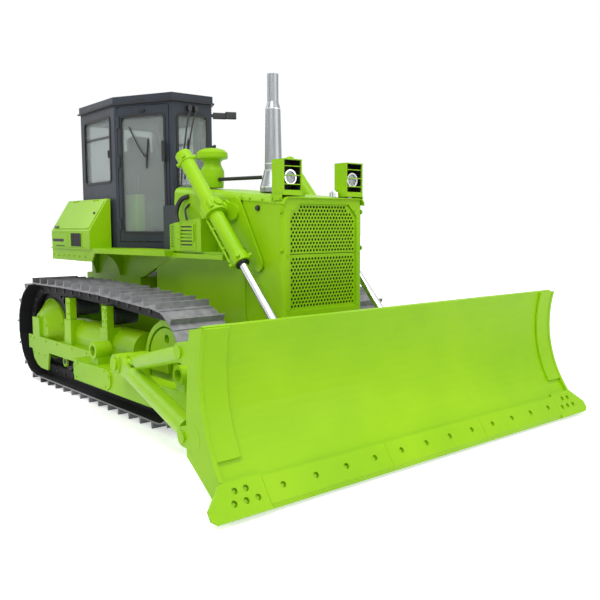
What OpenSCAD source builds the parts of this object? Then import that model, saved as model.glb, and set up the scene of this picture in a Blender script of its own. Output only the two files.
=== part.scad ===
// Crawler dozer with a hand-angled blade on a C-shaped push frame.
// Millimetres, +X forward, +Y to the machine's left, +Z up, ground at Z = 0.

/* [Undercarriage] */
// Pitch of the track links
track_pitch = 203.2; // [195:0.1:212]
// Shoes in one track
shoe_count = 38; // [37:1:40]
// Width of a track shoe
shoe_w = 510; // [460:10:560]
// Distance between the two track centres
track_gauge = 1880; // [1860:10:1940]
// Height of a grouser above its shoe plate
grouser_h = 54; // [40:1:70]
// Thickness of a shoe plate
shoe_t = 14; // [10:1:20]
// Height of a link above the pitch line
link_up = 60; // [50:1:70]
// Depth of a link's rail below the pitch line
link_down = 50; // [40:1:60]
// Sprocket teeth, two for each link
sprocket_teeth = 27; // [25:2:27]
// Pitch radius of the front idler
idler_r = 406; // [390:1:420]
// Rise of the track's top run over its carrier rollers
top_crown = 27; // [20:1:32]
// Radius of a carrier roller
carrier_r = 90; // [80:1:95]
// Radius of a track roller
roller_r = 100; // [90:1:105]
// Track rollers on each side
roller_count = 6; // [5:1:7]
// Top of the track frame's beam
beam_top = 575; // [560:1:590]
// Radius of the recoil spring's cover
recoil_r = 155; // [130:1:165]

/* [Blade] */
// Width over the end bits
blade_w = 3970; // [3700:10:4100]
// Width of the mouldboard between its side plates
moldboard_w = 3660; // [3400:10:3690]
// Height of the blade above its cutting edge
blade_h = 1067; // [1020:1:1110]
// Gap between the cutting edge and the ground
blade_gap = 22; // [10:1:60]
// Front of the cutting edge
blade_tip_x = 3354; // [3330:1:3400]
// Radius of the mouldboard's curve
moldboard_r = 1010; // [990:1:1060]
// Angle of the cutting edge above the ground
cutting_angle = 55; // [53:1:57]
// Length of the straight lower face
straight_l = 260; // [250:1:280]
// Thickness of the mouldboard
moldboard_t = 25; // [16:1:35]
// Height of the bolted cutting edge along the face
edge_l = 200; // [180:1:220]
// Thickness of the cutting edge and end bits
edge_t = 22; // [16:1:28]

/* [Push frame] */
// Trunnion of the push frame, ahead of the middle of the track
trunnion_x = 342; // [320:1:360]
// Height of that trunnion
trunnion_z = 400; // [390:1:405]
// Height of an arm
arm_h = 195; // [180:1:210]
// Thickness of an arm
arm_t = 150; // [130:1:160]
// Clearance from an arm to the track
arm_gap = 55; // [40:1:70]
// Middle of the front crossbar
crossbar_x = 2400; // [2390:1:2440]
// Radius of the frame's front corners
corner_r = 500; // [450:1:560]
// Outer radius of the strut bosses
boss_r = 75; // [70:1:85]
// Bore of the strut bosses
boss_bore = 45; // [40:1:50]
// Height of the strut bosses' axis
boss_z = 597; // [590:1:610]
// First strut boss
boss_x = 608; // [590:1:630]
// Spacing of the strut bosses
boss_step = 717; // [700:1:725]
// Radius of the lower strut
strut_r = 70; // [55:1:75]
// Radius of the upper brace
brace_r = 55; // [40:1:60]

/* [Lift cylinders] */
// Cylinder trunnion, ahead of the middle of the track
cyl_x = 1322; // [1310:1:1340]
// Height of the cylinder trunnion
cyl_z = 1814; // [1800:1:1830]
// Cylinder's distance from the machine's middle
cyl_y = 600; // [590:1:605]
// Rod eye, ahead of the middle of the track
eye_x = 2360; // [2350:1:2370]
// Height of the rod eye
eye_z = 713; // [700:1:725]
// Outer radius of the barrel
barrel_r = 66; // [60:1:70]
// Radius of the rod
rod_r = 34; // [28:1:38]
// Barrel behind the trunnion
barrel_back = 660; // [600:1:670]
// Barrel ahead of the trunnion
barrel_ahead = 610; // [580:1:620]

/* [Hood] */
// Rear of the hood
hood_rear_x = 440; // [430:1:460]
// Front of the radiator guard
hood_front_x = 2076; // [2060:1:2090]
// Half width of the hood
hood_half = 447; // [430:1:455]
// Top of the hood at its rear
hood_rear_z = 2045; // [2020:1:2060]
// Top of the hood at its front
hood_front_z = 1905; // [1890:1:1920]
// Seam between the rear cover and the nose
hood_seam_x = 1500; // [1480:1:1520]
// Thickness of hood panels
panel_t = 8; // [5:1:12]
// Half width of the grille
grille_half = 371; // [350:1:380]
// Bottom of the grille
grille_z0 = 984; // [960:1:1000]
// Seam between the two grille panels
grille_seam_z = 1445; // [1430:1:1460]
// Top of the grille
grille_z1 = 1850; // [1830:1:1860]
// Diameter of a grille hole
grille_hole = 23; // [16:1:26]
// Spacing of the grille holes
grille_step = 34; // [32:1:48]
// Top of the exhaust stack
stack_z = 3005; // [2800:1:3100]

/* [Cab] */
// Front of the cab
cab_front_x = 60; // [50:1:80]
// Widest point of the cab
cab_mid_x = -600; // [-620:1:-580]
// Rear of the cab
cab_rear_x = -1495; // [-1510:1:-1450]
// Half width of the front
cab_front_half = 235; // [220:1:250]
// Half width at the widest point
cab_mid_half = 540; // [530:1:550]
// Half width of the rear
cab_rear_half = 505; // [490:1:520]
// Platform that the cab stands on
platform_z = 1450; // [1440:1:1460]
// Lower edge of the roof
roof_z = 2925; // [2900:1:2950]
// Height of the roof
roof_h = 83; // [70:1:100]
// Thickness of the walls and doors
wall_t = 50; // [40:1:60]
// Thickness of the window glass
glass_t = 6; // [5:1:10]

/* [Fenders] */
// Outer edge of the fenders
fender_y = 815; // [800:1:840]
// Front of the side boxes
box_front_x = -680; // [-700:1:-660]
// Rear of the side boxes and fenders
box_rear_x = -1680; // [-1700:1:-1650]
// Inner top edge of the side boxes
box_top_y = 600; // [590:1:620]
// Foot of a side box's slope
box_slope_z = 1630; // [1600:1:1650]
// Top of the side boxes
box_top_z = 1968; // [1950:1:1990]

/* [Rear] */
// Rear face of the transmission case
case_rear_x = -1600; // [-1640:1:-1580]
// Rear end of the drawbar
drawbar_x = -2060; // [-2100:1:-2040]
// Radius of the drawbar pin's hole
drawbar_bore = 30; // [25:1:35]

/* [Hidden] */
$fn = 48;
fit = 0.3;
run_gap = 6;

paint = "#94d01a";
dark_paint = "#454b55";
track_steel = "#3b3c40";
bright_steel = "#c9ccd0";
black = "#1e1f22";
glass_tint = "#aab4b4";

// Track loop, first measured from the pitch line of its lower run
sprocket_r = track_pitch * sprocket_teeth / 2 / (2 * PI);
half_base = (shoe_count * track_pitch - PI * (sprocket_r + idler_r)) / 4;
track_y = track_gauge / 2;
track_out = track_y + shoe_w / 2;
shoe_out = link_up + shoe_t + grouser_h;
shoe_joint = 6;
shoe_web = 6;
grouser_s = -22;
grouser_foot = 13;
grouser_tip = 8;
carrier_xs = [-548, 280];
ground_z = shoe_out - pow(grouser_s - grouser_tip, 2) / 2 / (idler_r + shoe_out);
function top_share(x) = (x + half_base) / (2 * half_base);
function top_pitch(x) = let (t = top_share(x))
    2 * sprocket_r + 2 * (idler_r - sprocket_r) * t + 4 * top_crown * t * (1 - t);
carrier_zs = [for (x = carrier_xs) top_pitch(x) - carrier_r - link_down + ground_z];
loop_wheels = [
    [-half_base, sprocket_r, sprocket_r],
    [half_base, idler_r, idler_r],
    [carrier_xs[1], carrier_zs[1] - ground_z, carrier_r + link_down],
    [carrier_xs[0], carrier_zs[0] - ground_z, carrier_r + link_down]
];
wheel_count = len(loop_wheels);
function wheel(i) = loop_wheels[i % wheel_count];
function wheel_gap(i) = [wheel(i + 1)[0] - wheel(i)[0], wheel(i + 1)[1] - wheel(i)[1]];
function leave_angle(i) = let (g = wheel_gap(i))
    atan2(g[1], g[0]) - acos((wheel(i)[2] - wheel(i + 1)[2]) / norm(g));
function run_length(i) = sqrt(pow(norm(wheel_gap(i)), 2) - pow(wheel(i)[2] - wheel(i + 1)[2], 2));
function wrap_angle(i) = (leave_angle(i) - leave_angle(i + wheel_count - 1) + 720) % 360;
stretches = [for (i = [0 : wheel_count - 1])
    each [run_length(i), wheel(i + 1)[2] * wrap_angle(i + 1) * PI / 180]];
function total(list, i = 0) = i >= len(list) ? 0 : list[i] + total(list, i + 1);
loop_length = total(stretches);
shoe_step = loop_length / shoe_count;
function toward(angle) = [cos(angle), sin(angle)];
function centre(i) = [wheel(i)[0], wheel(i)[1]];
// Point on the loop and its outward angle, s along the loop
function on_loop(s, k = 0) = s > stretches[k] && k < len(stretches) - 1
    ? on_loop(s - stretches[k], k + 1)
    : let (i = floor(k / 2), straight = k % 2 == 0,
           angle = leave_angle(i) + (straight ? 0 : s / wheel(i + 1)[2] * 180 / PI))
      straight
        ? [centre(i) + wheel(i)[2] * toward(angle) + s * toward(angle + 90), angle]
        : [centre(i + 1) + wheel(i + 1)[2] * toward(angle), angle];
// Point of shoe k at s along it and h outward from the pitch line
function shoe_point(k, q) = let (p = on_loop((k + 0.5) * shoe_step))
    p[0] + q[1] * toward(p[1]) + q[0] * toward(p[1] + 90);
function shoe_ring(profile) = [for (k = [0 : shoe_count - 1]) for (q = profile) shoe_point(k, q)];
shoe_half = (shoe_step - shoe_joint) / 2;
shoe_top = link_up + shoe_t;
shoe_profile = [
    [-shoe_half, link_up + shoe_web], [-shoe_half, shoe_top],
    [grouser_s - grouser_foot, shoe_top], [grouser_s - grouser_tip, shoe_out],
    [grouser_s + grouser_tip, shoe_out], [grouser_s + grouser_foot, shoe_top],
    [shoe_half, shoe_top], [shoe_half, link_up + shoe_web]
];
sprocket_z = ground_z + sprocket_r;
idler_z = ground_z + idler_r;
rail_z = ground_z + link_down;
rail_in = 70;
rail_out = 115;

// Track frame
beam_half = 150;
beam_z0 = rail_z + 2 * roller_r + 15;
beam_x0 = -half_base + sprocket_r + 45;
beam_x1 = half_base - idler_r + link_down - 57;
guard_y = track_y + 205;
guard_t = 20;
guard_z0 = 340;
guard_z1 = 490;
guard_x0 = -1570;
guard_x1 = 760;
post_l = 105;
post_t = 68;
post_out = track_y + 190;
roller_x0 = beam_x0 + 50;
roller_x1 = beam_x1 - 50;
yoke_in = 118;
drive_out = track_y + 45 + fit + 150.9;

// Push frame
arm_in = track_out + arm_gap;
arm_out = arm_in + arm_t;
arm_z0 = 280;
arm_z1 = arm_z0 + arm_h;
arm_x0 = 190;
arm_y = (arm_in + arm_out) / 2;
boss_xs = [for (i = [0 : 2]) boss_x + i * boss_step];
trunnion_r = 60;
ball_x = crossbar_x + 215;
ball_z = 430;
ball_r = 85;
ear_t = 30;
ear_gap = 116;
eye_r = 68;
eye_t = 100;

// Blade profile in X and Z
function lean(d) = [-d * cos(cutting_angle), d * sin(cutting_angle)];
blade_z0 = blade_gap;
blade_z1 = blade_gap + blade_h;
tip = [blade_tip_x, blade_z0];
bend = tip + lean(straight_l);
face_centre = bend + moldboard_r * [sin(cutting_angle), cos(cutting_angle)];
top_angle = 180 - asin((blade_z1 - face_centre[1]) / moldboard_r);
bend_angle = 270 - cutting_angle + 0;
face_steps = 14;
function face(d) = [for (i = [0 : face_steps])
    face_centre + (moldboard_r + d) * toward(bend_angle + (top_angle - bend_angle) * i / face_steps)];
function out(p, d) = p - d * [sin(cutting_angle), cos(cutting_angle)];
edge_top = tip + lean(edge_l);
blade_top = face_centre + moldboard_r * toward(top_angle);
side_t = 28;
side_lip = 22;
end_bit_l = 414;
bolt_bore = 20;
edge_bolts = 4;
edge_bolt_s = 118;
end_bolts = [[158, 285], [158, 205], [88, 345], [88, 260], [88, 175]];
end_bit_taper = 126;
back_depth = 449;
back_x = blade_tip_x - back_depth;
lug_w = 90;
lug_t = 34;
strut_rear = [boss_xs[1], arm_out + 5 + 72, boss_z];
strut_front = [back_x - 55, moldboard_w / 2 - 50, 404];
strut_plan = atan2(strut_front[1] - strut_rear[1], strut_front[0] - strut_rear[0]);
fork_gap = 21;
brace_l = 140;
tube_l = 340;
tube_share = tube_l / norm([strut_front[0] - strut_rear[0], strut_front[1] - strut_rear[1]]);
brace_rear = [strut_rear[0] + brace_l * cos(strut_plan), strut_rear[1] + brace_l * sin(strut_plan),
    boss_z + 8];
brace_x = back_x - 90;
brace_front = [brace_x, strut_rear[1] + (brace_x - strut_rear[0]) * tan(strut_plan), blade_z1 - 174];

// Lift cylinders
cyl_dir = [eye_x - cyl_x, eye_z - cyl_z];
cyl_len = norm(cyl_dir);
cyl_angle = atan2(cyl_dir[1], cyl_dir[0]);
yoke_r = 98;
yoke_l = 130;
shaft_r = 45;
bearing_w = 25;
bearing_y = hood_half + panel_t + 10;

// Chassis
rail_top = 800;
engine_x = [520, 1790];
engine_half = 290;
engine_h = 930;
engine_feet_xs = [600, 1500];

// Hood
hood_slope = (hood_rear_z - hood_front_z) / (hood_front_x - hood_rear_x);
function hood_z(x) = hood_rear_z - (x - hood_rear_x) * hood_slope;
hood_r = 60;
skirt = 165;
side_panel_z = rail_top + fit;
guard_bottom = rail_top + fit;
guard_wall = 26;
grille_clip = 95;
grille_t = 8;
grille_frame = 24;
stack_x = 1395;
cleaner_x = 640;
cleaner_y = -150;
cleaner_r = 104;
lamp_w = 190;
lamp_l = 150;
lamp_h = 285;
lamp_r = 55;
lamp_x = hood_front_x + 4;
lamp_y = hood_half - lamp_w - 10;
lamp_z = hood_z(lamp_x - lamp_l) + fit;
deck_x = 660;
louver_x = [532, 725, 1155];
louver_y = [565, 620];
louver_z = [1450, 1690, 1745];

// Cab
cab_plan = [
    [cab_front_x, -cab_front_half], [cab_front_x, cab_front_half],
    [cab_mid_x, cab_mid_half], [cab_rear_x, cab_rear_half],
    [cab_rear_x, -cab_rear_half], [cab_mid_x, -cab_mid_half]
];
function unit(v) = v / norm(v);
function left_of(v) = [-v[1], v[0]];
function inset(p, t) = let (n = len(p)) [for (i = [0 : n - 1])
    let (a = left_of(unit(p[i] - p[(i + n - 1) % n])), b = left_of(unit(p[(i + 1) % n] - p[i])))
    p[i] + t * (a + b) / (1 + a * b)];
floor_t = 30;
sill_z = platform_z + floor_t;
door_z = [platform_z + 61, roof_z - 20];
door_len = norm(cab_plan[2] - cab_plan[1]);
door_u = [40, door_len - 36];
pane_u = [95, door_len - 86];
pane_z = [platform_z + 162, roof_z - 120];
side_len = norm(cab_plan[3] - cab_plan[2]);
side_u = [110, side_len - 100];
side_pane_h = 676;
side_z = [roof_z - 103 - side_pane_h, roof_z - 103];
front_u = [45, 2 * cab_front_half - 45];
front_z = [platform_z + 250, pane_z[1]];
rear_u = [90, 2 * cab_rear_half - 90];
rear_pane_h = 832;
rear_z = [side_z[1] - rear_pane_h, side_z[1]];
corner = 45;
case_half = 440;
case_top = 1150;
rear_bolt_y = 200;
rear_bolt_zs = [620, 920];
jaw_zs = [520, 680];
jaw_t = 60;
jaw_half = 110;
jaw_plate_half = 160;
jaw_plate_z = [480, 780];
cowl_half = 360;
cowl_z = 1880;
web_t = 40;
tank_half = 470;
tank_rear_x = case_rear_x - 280;
tank_foot_h = 120;
tank_top = platform_z + 440;
seat_x = [-960, -440];
seat_h = 460;
seat_half = 250;
console_h = 530;
console_x = [-900, -420];
console_y = [290, 400];
dash_x = [-180, -30];
dash_half = 130;
dash_h = 620;
box_t = 8;
skirt_x = -640;
gusset_xs = [-1300, -700];
gusset_y = 740;

// Whole machine, set over the middle of its length
mid_x = (blade_tip_x + drawbar_x) / 2;

// Shared shapes
module place() translate([-mid_x, 0, 0]) children();
module left_side() children();
module right_side() mirror([0, 1, 0]) children();
module both_sides() {
    left_side() children();
    right_side() children();
}
// Profile in X and Z, extruded from y0 to y1
module across(y0, y1) translate([0, y1, 0]) rotate([90, 0, 0]) linear_extrude(y1 - y0) children();
// Profile in Y and Z, extruded from x0 to x1
module along(x0, x1) translate([x0, 0, 0]) rotate([90, 0, 90]) linear_extrude(x1 - x0) children();
// Profile in X and Y, extruded from z0 to z1
module upward(z0, z1) translate([0, 0, z0]) linear_extrude(z1 - z0) children();
module block(x0, x1, y0, y1, z0, z1) translate([x0, y0, z0]) cube([x1 - x0, y1 - y0, z1 - z0]);
module panel(x0, x1, z0, z1) translate([x0, z0]) square([x1 - x0, z1 - z0]);
module rounded(x0, x1, z0, z1, r) {
    panel(x0 + r, x1 - r, z0, z1);
    panel(x0, x1, z0 + r, z1 - r);
    for (x = [x0 + r, x1 - r]) for (z = [z0 + r, z1 - r]) translate([x, z]) circle(r);
}
module axle(x, z, y0, y1, r) translate([x, y1, z]) rotate([90, 0, 0]) cylinder(h = y1 - y0, r = r);
module bar(a, b, r) {
    d = b - a;
    translate(a) rotate([0, acos(d[2] / norm(d)), atan2(d[1], d[0])]) cylinder(h = norm(d), r = r);
}
// Children drawn along a wall from a to b, u to the right and z up, starting t inside the wall
module on_wall(a, b, t) translate([a[0], a[1], 0]) rotate([0, 0, atan2(b[1] - a[1], b[0] - a[0])])
    rotate([90, 0, 0]) translate([0, 0, -t]) children();

// Chassis: transmission case, side rails, belly guard, equaliser bar and final drive shafts
module main_frame() color(paint) place() {
    difference() {
        block(case_rear_x, -300, -case_half, case_half, 420, case_top);
        for (y = [-rear_bolt_y, rear_bolt_y]) for (z = rear_bolt_zs)
            translate([case_rear_x - 1, y, z]) rotate([0, 90, 0]) cylinder(h = 61, r = 16);
    }
    both_sides() {
        block(-301, 1990, case_half - 100, case_half, 450, rail_top);
        axle(-half_base, sprocket_z, case_half - 20, track_y - 140, 240);
        axle(-640, 480, case_half - 20, track_y - beam_half - fit, 70);
    }
    block(1900, 1990, -case_half, case_half, 450, rail_top);
    along(-300.5, 1960) polygon([[-case_half, 450.5], [-case_half + 80, 400], [case_half - 80, 400],
        [case_half, 450.5]]);
    block(720, 840, -track_y + beam_half + 10, track_y - beam_half - 10, beam_top + 5, beam_top + 110);
}

// Diesel engine on its feet
module engine_block() color(track_steel) place() {
    block(engine_x[0], engine_x[1], -engine_half, engine_half, rail_top, rail_top + engine_h);
    both_sides() for (x = engine_feet_xs)
        block(x, x + 140, engine_half - 10, case_half - 40, rail_top, rail_top + 40);
}

module hood_section(half, top, r, depth) {
    difference() {
        rounded(-half, half, top - 3 * depth, top, r);
        panel(-half - 1, half + 1, top - 3 * depth - 1, top - depth);
    }
}
module hood_shell(x0, x1, depth) {
    slope = atan(hood_slope);
    translate([x0, 0, hood_z(x0)]) rotate([0, slope, 0]) difference() {
        along(0, (x1 - x0) / cos(slope)) hood_section(hood_half, 0, hood_r, depth);
        along(-1, (x1 - x0) / cos(slope) + 1) difference() {
            hood_section(hood_half - panel_t, -panel_t, hood_r - panel_t, depth);
        }
    }
}

// Space below the hood's skin, gap away from it
module under_hood(x0, x1, gap) {
    slope = atan(hood_slope);
    translate([x0, 0, hood_z(x0)]) rotate([0, slope, 0]) along(-hood_half, (x1 - x0) + hood_half)
        hood_section(hood_half - panel_t - gap, -panel_t - gap, hood_r - panel_t - gap, hood_rear_z);
}

// Rear engine cover with its side skirts and rear bulkhead
module hood_cover() color(paint) place() {
    x0 = hood_rear_x + 1;
    x1 = hood_seam_x - 3;
    hood_shell(hood_rear_x, x1, skirt);
    along(x0, x0 + panel_t)
        panel(-hood_half + panel_t / 2, hood_half - panel_t / 2, rail_top, hood_rear_z - hood_r);
    both_sides() across(hood_half - panel_t, hood_half) difference() {
        polygon([[x0, side_panel_z], [x1, side_panel_z], [x1, hood_z(x1) - skirt + 20],
            [x0, hood_z(x0) - skirt + 20]]);
        rounded(x1 - 170, x1 - 20, hood_z(x1) - skirt - 45, hood_z(x1) - skirt - 10, 12);
    }
}

// Nose over the radiator, with a front lip
module hood_nose() color(paint) place() hood_shell(hood_seam_x + 3, hood_front_x + 24, 60);

// Radiator guard: side plates and front frame around the grille
module radiator_guard() color(paint) place() {
    half = hood_half - panel_t - fit;
    inner = hood_half - guard_wall;
    difference() {
        intersection() {
            under_hood(hood_seam_x, hood_front_x, fit);
            upward(guard_bottom, hood_rear_z) difference() {
                rounded(hood_seam_x, hood_front_x, -half, half, 40);
                panel(hood_seam_x - 1, hood_front_x - guard_wall, -inner, inner);
            }
        }
        along(hood_front_x - guard_wall - 1, hood_front_x + 1) grille_outline(0);
    }
    along(hood_front_x - guard_wall - grille_t - 20, hood_front_x - guard_wall + 1)
        difference() {
            grille_outline(grille_frame);
            grille_outline(0);
        }
    block(hood_front_x - 196, hood_front_x - guard_wall, -inner - 1, inner + 1,
        guard_bottom, guard_bottom + 40);
}
module grille_outline(grow) polygon([
    [-grille_half - grow, grille_z0 - grow], [grille_half + grow, grille_z0 - grow],
    [grille_half + grow, grille_z1 - grille_clip + grow / 2],
    [grille_half - grille_clip + grow / 2, grille_z1 + grow],
    [-grille_half + grille_clip - grow / 2, grille_z1 + grow],
    [-grille_half - grow, grille_z1 - grille_clip + grow / 2]]);

// Perforated grille panel between two heights, holes staggered row by row
module grille_panel(z0, z1) {
    margin = grille_hole;
    row_h = grille_step * sin(60);
    rows = floor((z1 - z0 - 2 * margin) / row_h);
    foot = (z0 + z1 - rows * row_h) / 2;
    x0 = hood_front_x - guard_wall;
    along(x0 + fit, x0 + fit + grille_t) difference() {
        intersection() {
            grille_outline(-fit);
            panel(-grille_half, grille_half, z0, z1);
        }
        for (row = [0 : rows]) {
            z = foot + row * row_h;
            half = grille_half - margin - max(0, z - grille_z1 + grille_clip + margin / 2);
            count = floor(half / grille_step);
            shift = row % 2 == 0 ? 0 : grille_step / 2;
            for (i = [-count : count - (row % 2)])
                translate([i * grille_step + shift, z]) circle(d = grille_hole, $fn = 16);
        }
    }
}
module grille_upper() color(paint) place() grille_panel(grille_seam_z + 3, grille_z1);
module grille_lower() color(paint) place() grille_panel(grille_z0, grille_seam_z - 3);

// Headlamp boxes on the nose, open in front behind three bars
module headlamps() color(paint) place() {
    both_sides() lamp_box();
    right_side() along(lamp_x - lamp_l + 10, lamp_x - lamp_l + 18) polygon([[lamp_y + 1, lamp_z],
        [lamp_y + 1, lamp_z + lamp_h * 0.8], [lamp_y - 20, lamp_z + lamp_h * 0.8], [lamp_y - 150, lamp_z]]);
}
module lamp_box() {
    difference() {
        block(lamp_x - lamp_l, lamp_x, lamp_y, lamp_y + lamp_w, lamp_z, lamp_z + lamp_h);
        block(lamp_x - lamp_l + 12, lamp_x + 1, lamp_y + 8, lamp_y + lamp_w - 8,
            lamp_z + 40, lamp_z + lamp_h - 8);
    }
    for (z = [0.3, 0.55, 0.8]) axle(lamp_x - 8, lamp_z + lamp_h * z, lamp_y + 7, lamp_y + lamp_w - 7, 4);
    lamp_disc(lamp_x - lamp_l + 11, lamp_x - 45, lamp_r);
}
module lamp_disc(x0, x1, r) translate([0, lamp_y + lamp_w / 2, lamp_z + lamp_h / 2]) along(x0, x1) circle(r);
module headlamp_lenses() color(glass_tint) place() both_sides()
    lamp_disc(lamp_x - 45 + fit, lamp_x - 30, lamp_r - 4);

// Silencer cone and stack, its outlet turned back at the top
module exhaust_stack() color(bright_steel) place() {
    base = hood_z(stack_x - 120) + fit;
    translate([stack_x, 0, base]) {
        cylinder(h = 45, r = 120);
        translate([0, 0, 44.9]) cylinder(h = 145, r1 = 120, r2 = 82);
        translate([0, 0, 189.8]) cylinder(h = 60, r = 77);
        difference() {
            union() {
                translate([0, 0, 249.7]) cylinder(h = 480, r1 = 76, r2 = 66);
                translate([0, 0, 729.6]) cylinder(h = 60, r1 = 66, r2 = 50);
                translate([0, 0, 789.5]) cylinder(h = stack_z - base - 789.5, r = 50);
            }
            translate([0, 0, 780]) cylinder(h = 400, r = 44);
            translate([-150, 0, stack_z - base + 30]) rotate([0, 40, 0]) cube([120, 300, 120], center = true);
        }
    }
}

// Air pre-cleaner: bowl, neck and mushroom cap, turned as one profile
module precleaner() color(paint) place() {
    base = hood_z(cleaner_x - cleaner_r) + fit;
    translate([cleaner_x, cleaner_y, base]) rotate_extrude() polygon([
        [0, 0], [cleaner_r, 0], [110, 60], [114, 115], [112, 165], [98, 190], [82, 225], [82, 250], [112, 268],
        [146, 275], [150, 290], [148, 330], [120, 356], [70, 372], [0, 378]]);
}

// Dust ejector pipe from the pre-cleaner to the exhaust
module aspirator_pipe() color(black) place() {
    z = hood_z(cleaner_x) + 85;
    bar([cleaner_x + 115, cleaner_y, z], [stack_x - 105, 0, z], 17);
}

// Louvred box ahead of the cab: sloped top, chamfered rear face
module louver_box() {
    difference() {
        intersection() {
            upward(louver_z[0], louver_z[2]) polygon([[louver_x[0], hood_half + fit],
                [louver_x[0], louver_y[0]], [louver_x[1], louver_y[1]], [louver_x[2], louver_y[1]],
                [louver_x[2], hood_half + fit]]);
            across(0, 1000) polygon([[louver_x[0], louver_z[0]], [louver_x[2], louver_z[0]],
                [louver_x[2], louver_z[2]], [louver_x[0], louver_z[1]]]);
        }
        for (i = [0 : 5]) block(louver_x[1] + 95, louver_x[1] + 285, louver_y[1] - 14, louver_y[1] + 1,
            louver_z[0] + 52 + i * 32, louver_z[0] + 66 + i * 32);
        for (i = [0 : 7]) translate([louver_x[0], louver_y[0], louver_z[0] + 35 + i * 26])
            rotate([0, 0, atan2(louver_y[1] - louver_y[0], louver_x[1] - louver_x[0])])
            translate([30, -12, 0]) cube([130, 30, 12]);
    }
    block(deck_x + 2, louver_x[2] + 330, hood_half + fit, louver_y[1], louver_z[0] - 60, louver_z[0] - 20);
    block(deck_x + 22, louver_x[2] + 300, hood_half + fit, louver_y[1] - 30,
        louver_z[0] - 21, louver_z[0] + 1);
}
module louver_box_left() color(paint) place() left_side() louver_box();
module louver_box_right() color(paint) place() right_side() louver_box();

// Teardrop support on the radiator guard with the bearing of the cylinder's yoke
module cylinder_bracket() {
    foot = [1765, 1358];
    y1 = bearing_y + bearing_w;
    difference() {
        union() {
            across(hood_half + fit, bearing_y + 1) teardrop_plate([cyl_x + 130, cyl_z + 20], 85, foot, 60);
            across(bearing_y, y1) circle_at([cyl_x, cyl_z], 88);
            across(hood_half + fit, y1) teardrop_plate([cyl_x, cyl_z], 70, [cyl_x + 130, cyl_z - 20], 70);
        }
        axle(cyl_x, cyl_z, hood_half - 1, y1 + 1, shaft_r + fit);
    }
}
module circle_at(p, r) translate(p) circle(r);
// Flat plate with two round ends, its sides tangent to both
module teardrop_plate(a, ra, b, rb) {
    d = b - a;
    n = atan2(d[1], d[0]) - acos((ra - rb) / norm(d));
    m = atan2(d[1], d[0]) + acos((ra - rb) / norm(d));
    circle_at(a, ra);
    circle_at(b, rb);
    polygon([a + ra * toward(n), b + rb * toward(n), b + rb * toward(m), a + ra * toward(m)]);
}
module cylinder_bracket_left() color(paint) place() left_side() cylinder_bracket();
module cylinder_bracket_right() color(paint) place() right_side() cylinder_bracket();

// Fender and platform with its outer skirt and the web that stands on the case
module fender() {
    deck = [[box_rear_x, tank_half + 10], [box_rear_x, fender_y], [-500, fender_y], [deck_x, 700],
        [deck_x, louver_y[0] - 40], [300, louver_y[0] - 60], [300, case_half - web_t],
        [cab_rear_x + 20, case_half - web_t], [cab_rear_x + 20, tank_half + 10]];
    upward(platform_z - 50, platform_z) polygon(deck);
    across(fender_y - 20, fender_y) polygon([[box_rear_x, platform_z - 49], [box_rear_x, platform_z - 140],
        [skirt_x, platform_z - 140], [skirt_x + 70, platform_z - 49]]);
    block(cab_rear_x + 30, -320, case_half - web_t, case_half, case_top, platform_z - 49);
    across(case_half - web_t, case_half - web_t + 40) polygon([[-321, case_top], [-321, platform_z - 49],
        [299, platform_z - 49], [299, platform_z - 90], [-250, case_top]]);
    for (x = gusset_xs) along(x, x + 16) difference() {
        panel(case_half - 1, gusset_y, case_top + 1, platform_z - 49);
        circle_at([gusset_y, case_top - 10], gusset_y - case_half - 40);
    }
}
module fender_left() color(paint) place() left_side() fender();
module fender_right() color(paint) place() right_side() fender();

// Side box on the fender, hollow, with a hatch in its slope
box_profile = [[cab_mid_half + 30, platform_z + fit], [fender_y, platform_z + fit], [fender_y, box_slope_z],
    [box_top_y, box_top_z], [cab_mid_half + 30, box_top_z]];
slope_len = norm([fender_y - box_top_y, box_top_z - box_slope_z]);
slope_angle = atan2(box_top_z - box_slope_z, fender_y - box_top_y);
hatch_u = [70, 60];
lid_rim = 35;
lid_pin_r = 9;
lid_pin_v = slope_len - hatch_u[1] + lid_rim + 6;
lid_hinge_us = [190, 700];
lid_hinge_l = 110;
// Children lie on the slope: u rearward from the box's front, v up the slope, w outward
module on_slope() translate([box_front_x, fender_y, box_slope_z]) rotate([-slope_angle, 0, 0])
    mirror([1, 0, 0]) mirror([0, 1, 0]) children();
// Barrel on the lid's hinge line from u0 to u1
module lid_barrel(u0, u1) on_slope() translate([u0, lid_pin_v, lid_pin_r + fit]) rotate([0, 90, 0])
    cylinder(h = u1 - u0, r = lid_pin_r);
module side_box() {
    difference() {
        along(box_rear_x, box_front_x) polygon(box_profile);
        along(box_rear_x + box_t, box_front_x - box_t) polygon(inset(box_profile, box_t));
        on_slope() translate([0, 0, -3 * box_t]) linear_extrude(6 * box_t)
            rounded(hatch_u[0], box_front_x - box_rear_x - hatch_u[0],
                hatch_u[1], slope_len - hatch_u[1], 15);
    }
    for (u = lid_hinge_us) {
        lid_barrel(u + lid_hinge_l / 2 + fit, u + lid_hinge_l);
        on_slope() translate([u + lid_hinge_l / 2 + fit, lid_pin_v, -1])
            cube([lid_hinge_l / 2 - fit, lid_pin_r, lid_pin_r + 1]);
    }
}
module side_box_left() color(paint) place() left_side() side_box();
module side_box_right() color(paint) place() right_side() side_box();
module box_lid() {
    on_slope() translate([0, 0, fit]) linear_extrude(box_t) difference() {
        rounded(hatch_u[0] - lid_rim, box_front_x - box_rear_x - hatch_u[0] + lid_rim,
            hatch_u[1] - lid_rim, slope_len - hatch_u[1] + lid_rim, 25);
        for (u = lid_hinge_us)
            panel(u + lid_hinge_l / 2 - 2, u + lid_hinge_l + 2, lid_pin_v - lid_pin_r - 4, slope_len);
    }
    for (u = lid_hinge_us) lid_barrel(u, u + lid_hinge_l / 2);
}
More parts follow.
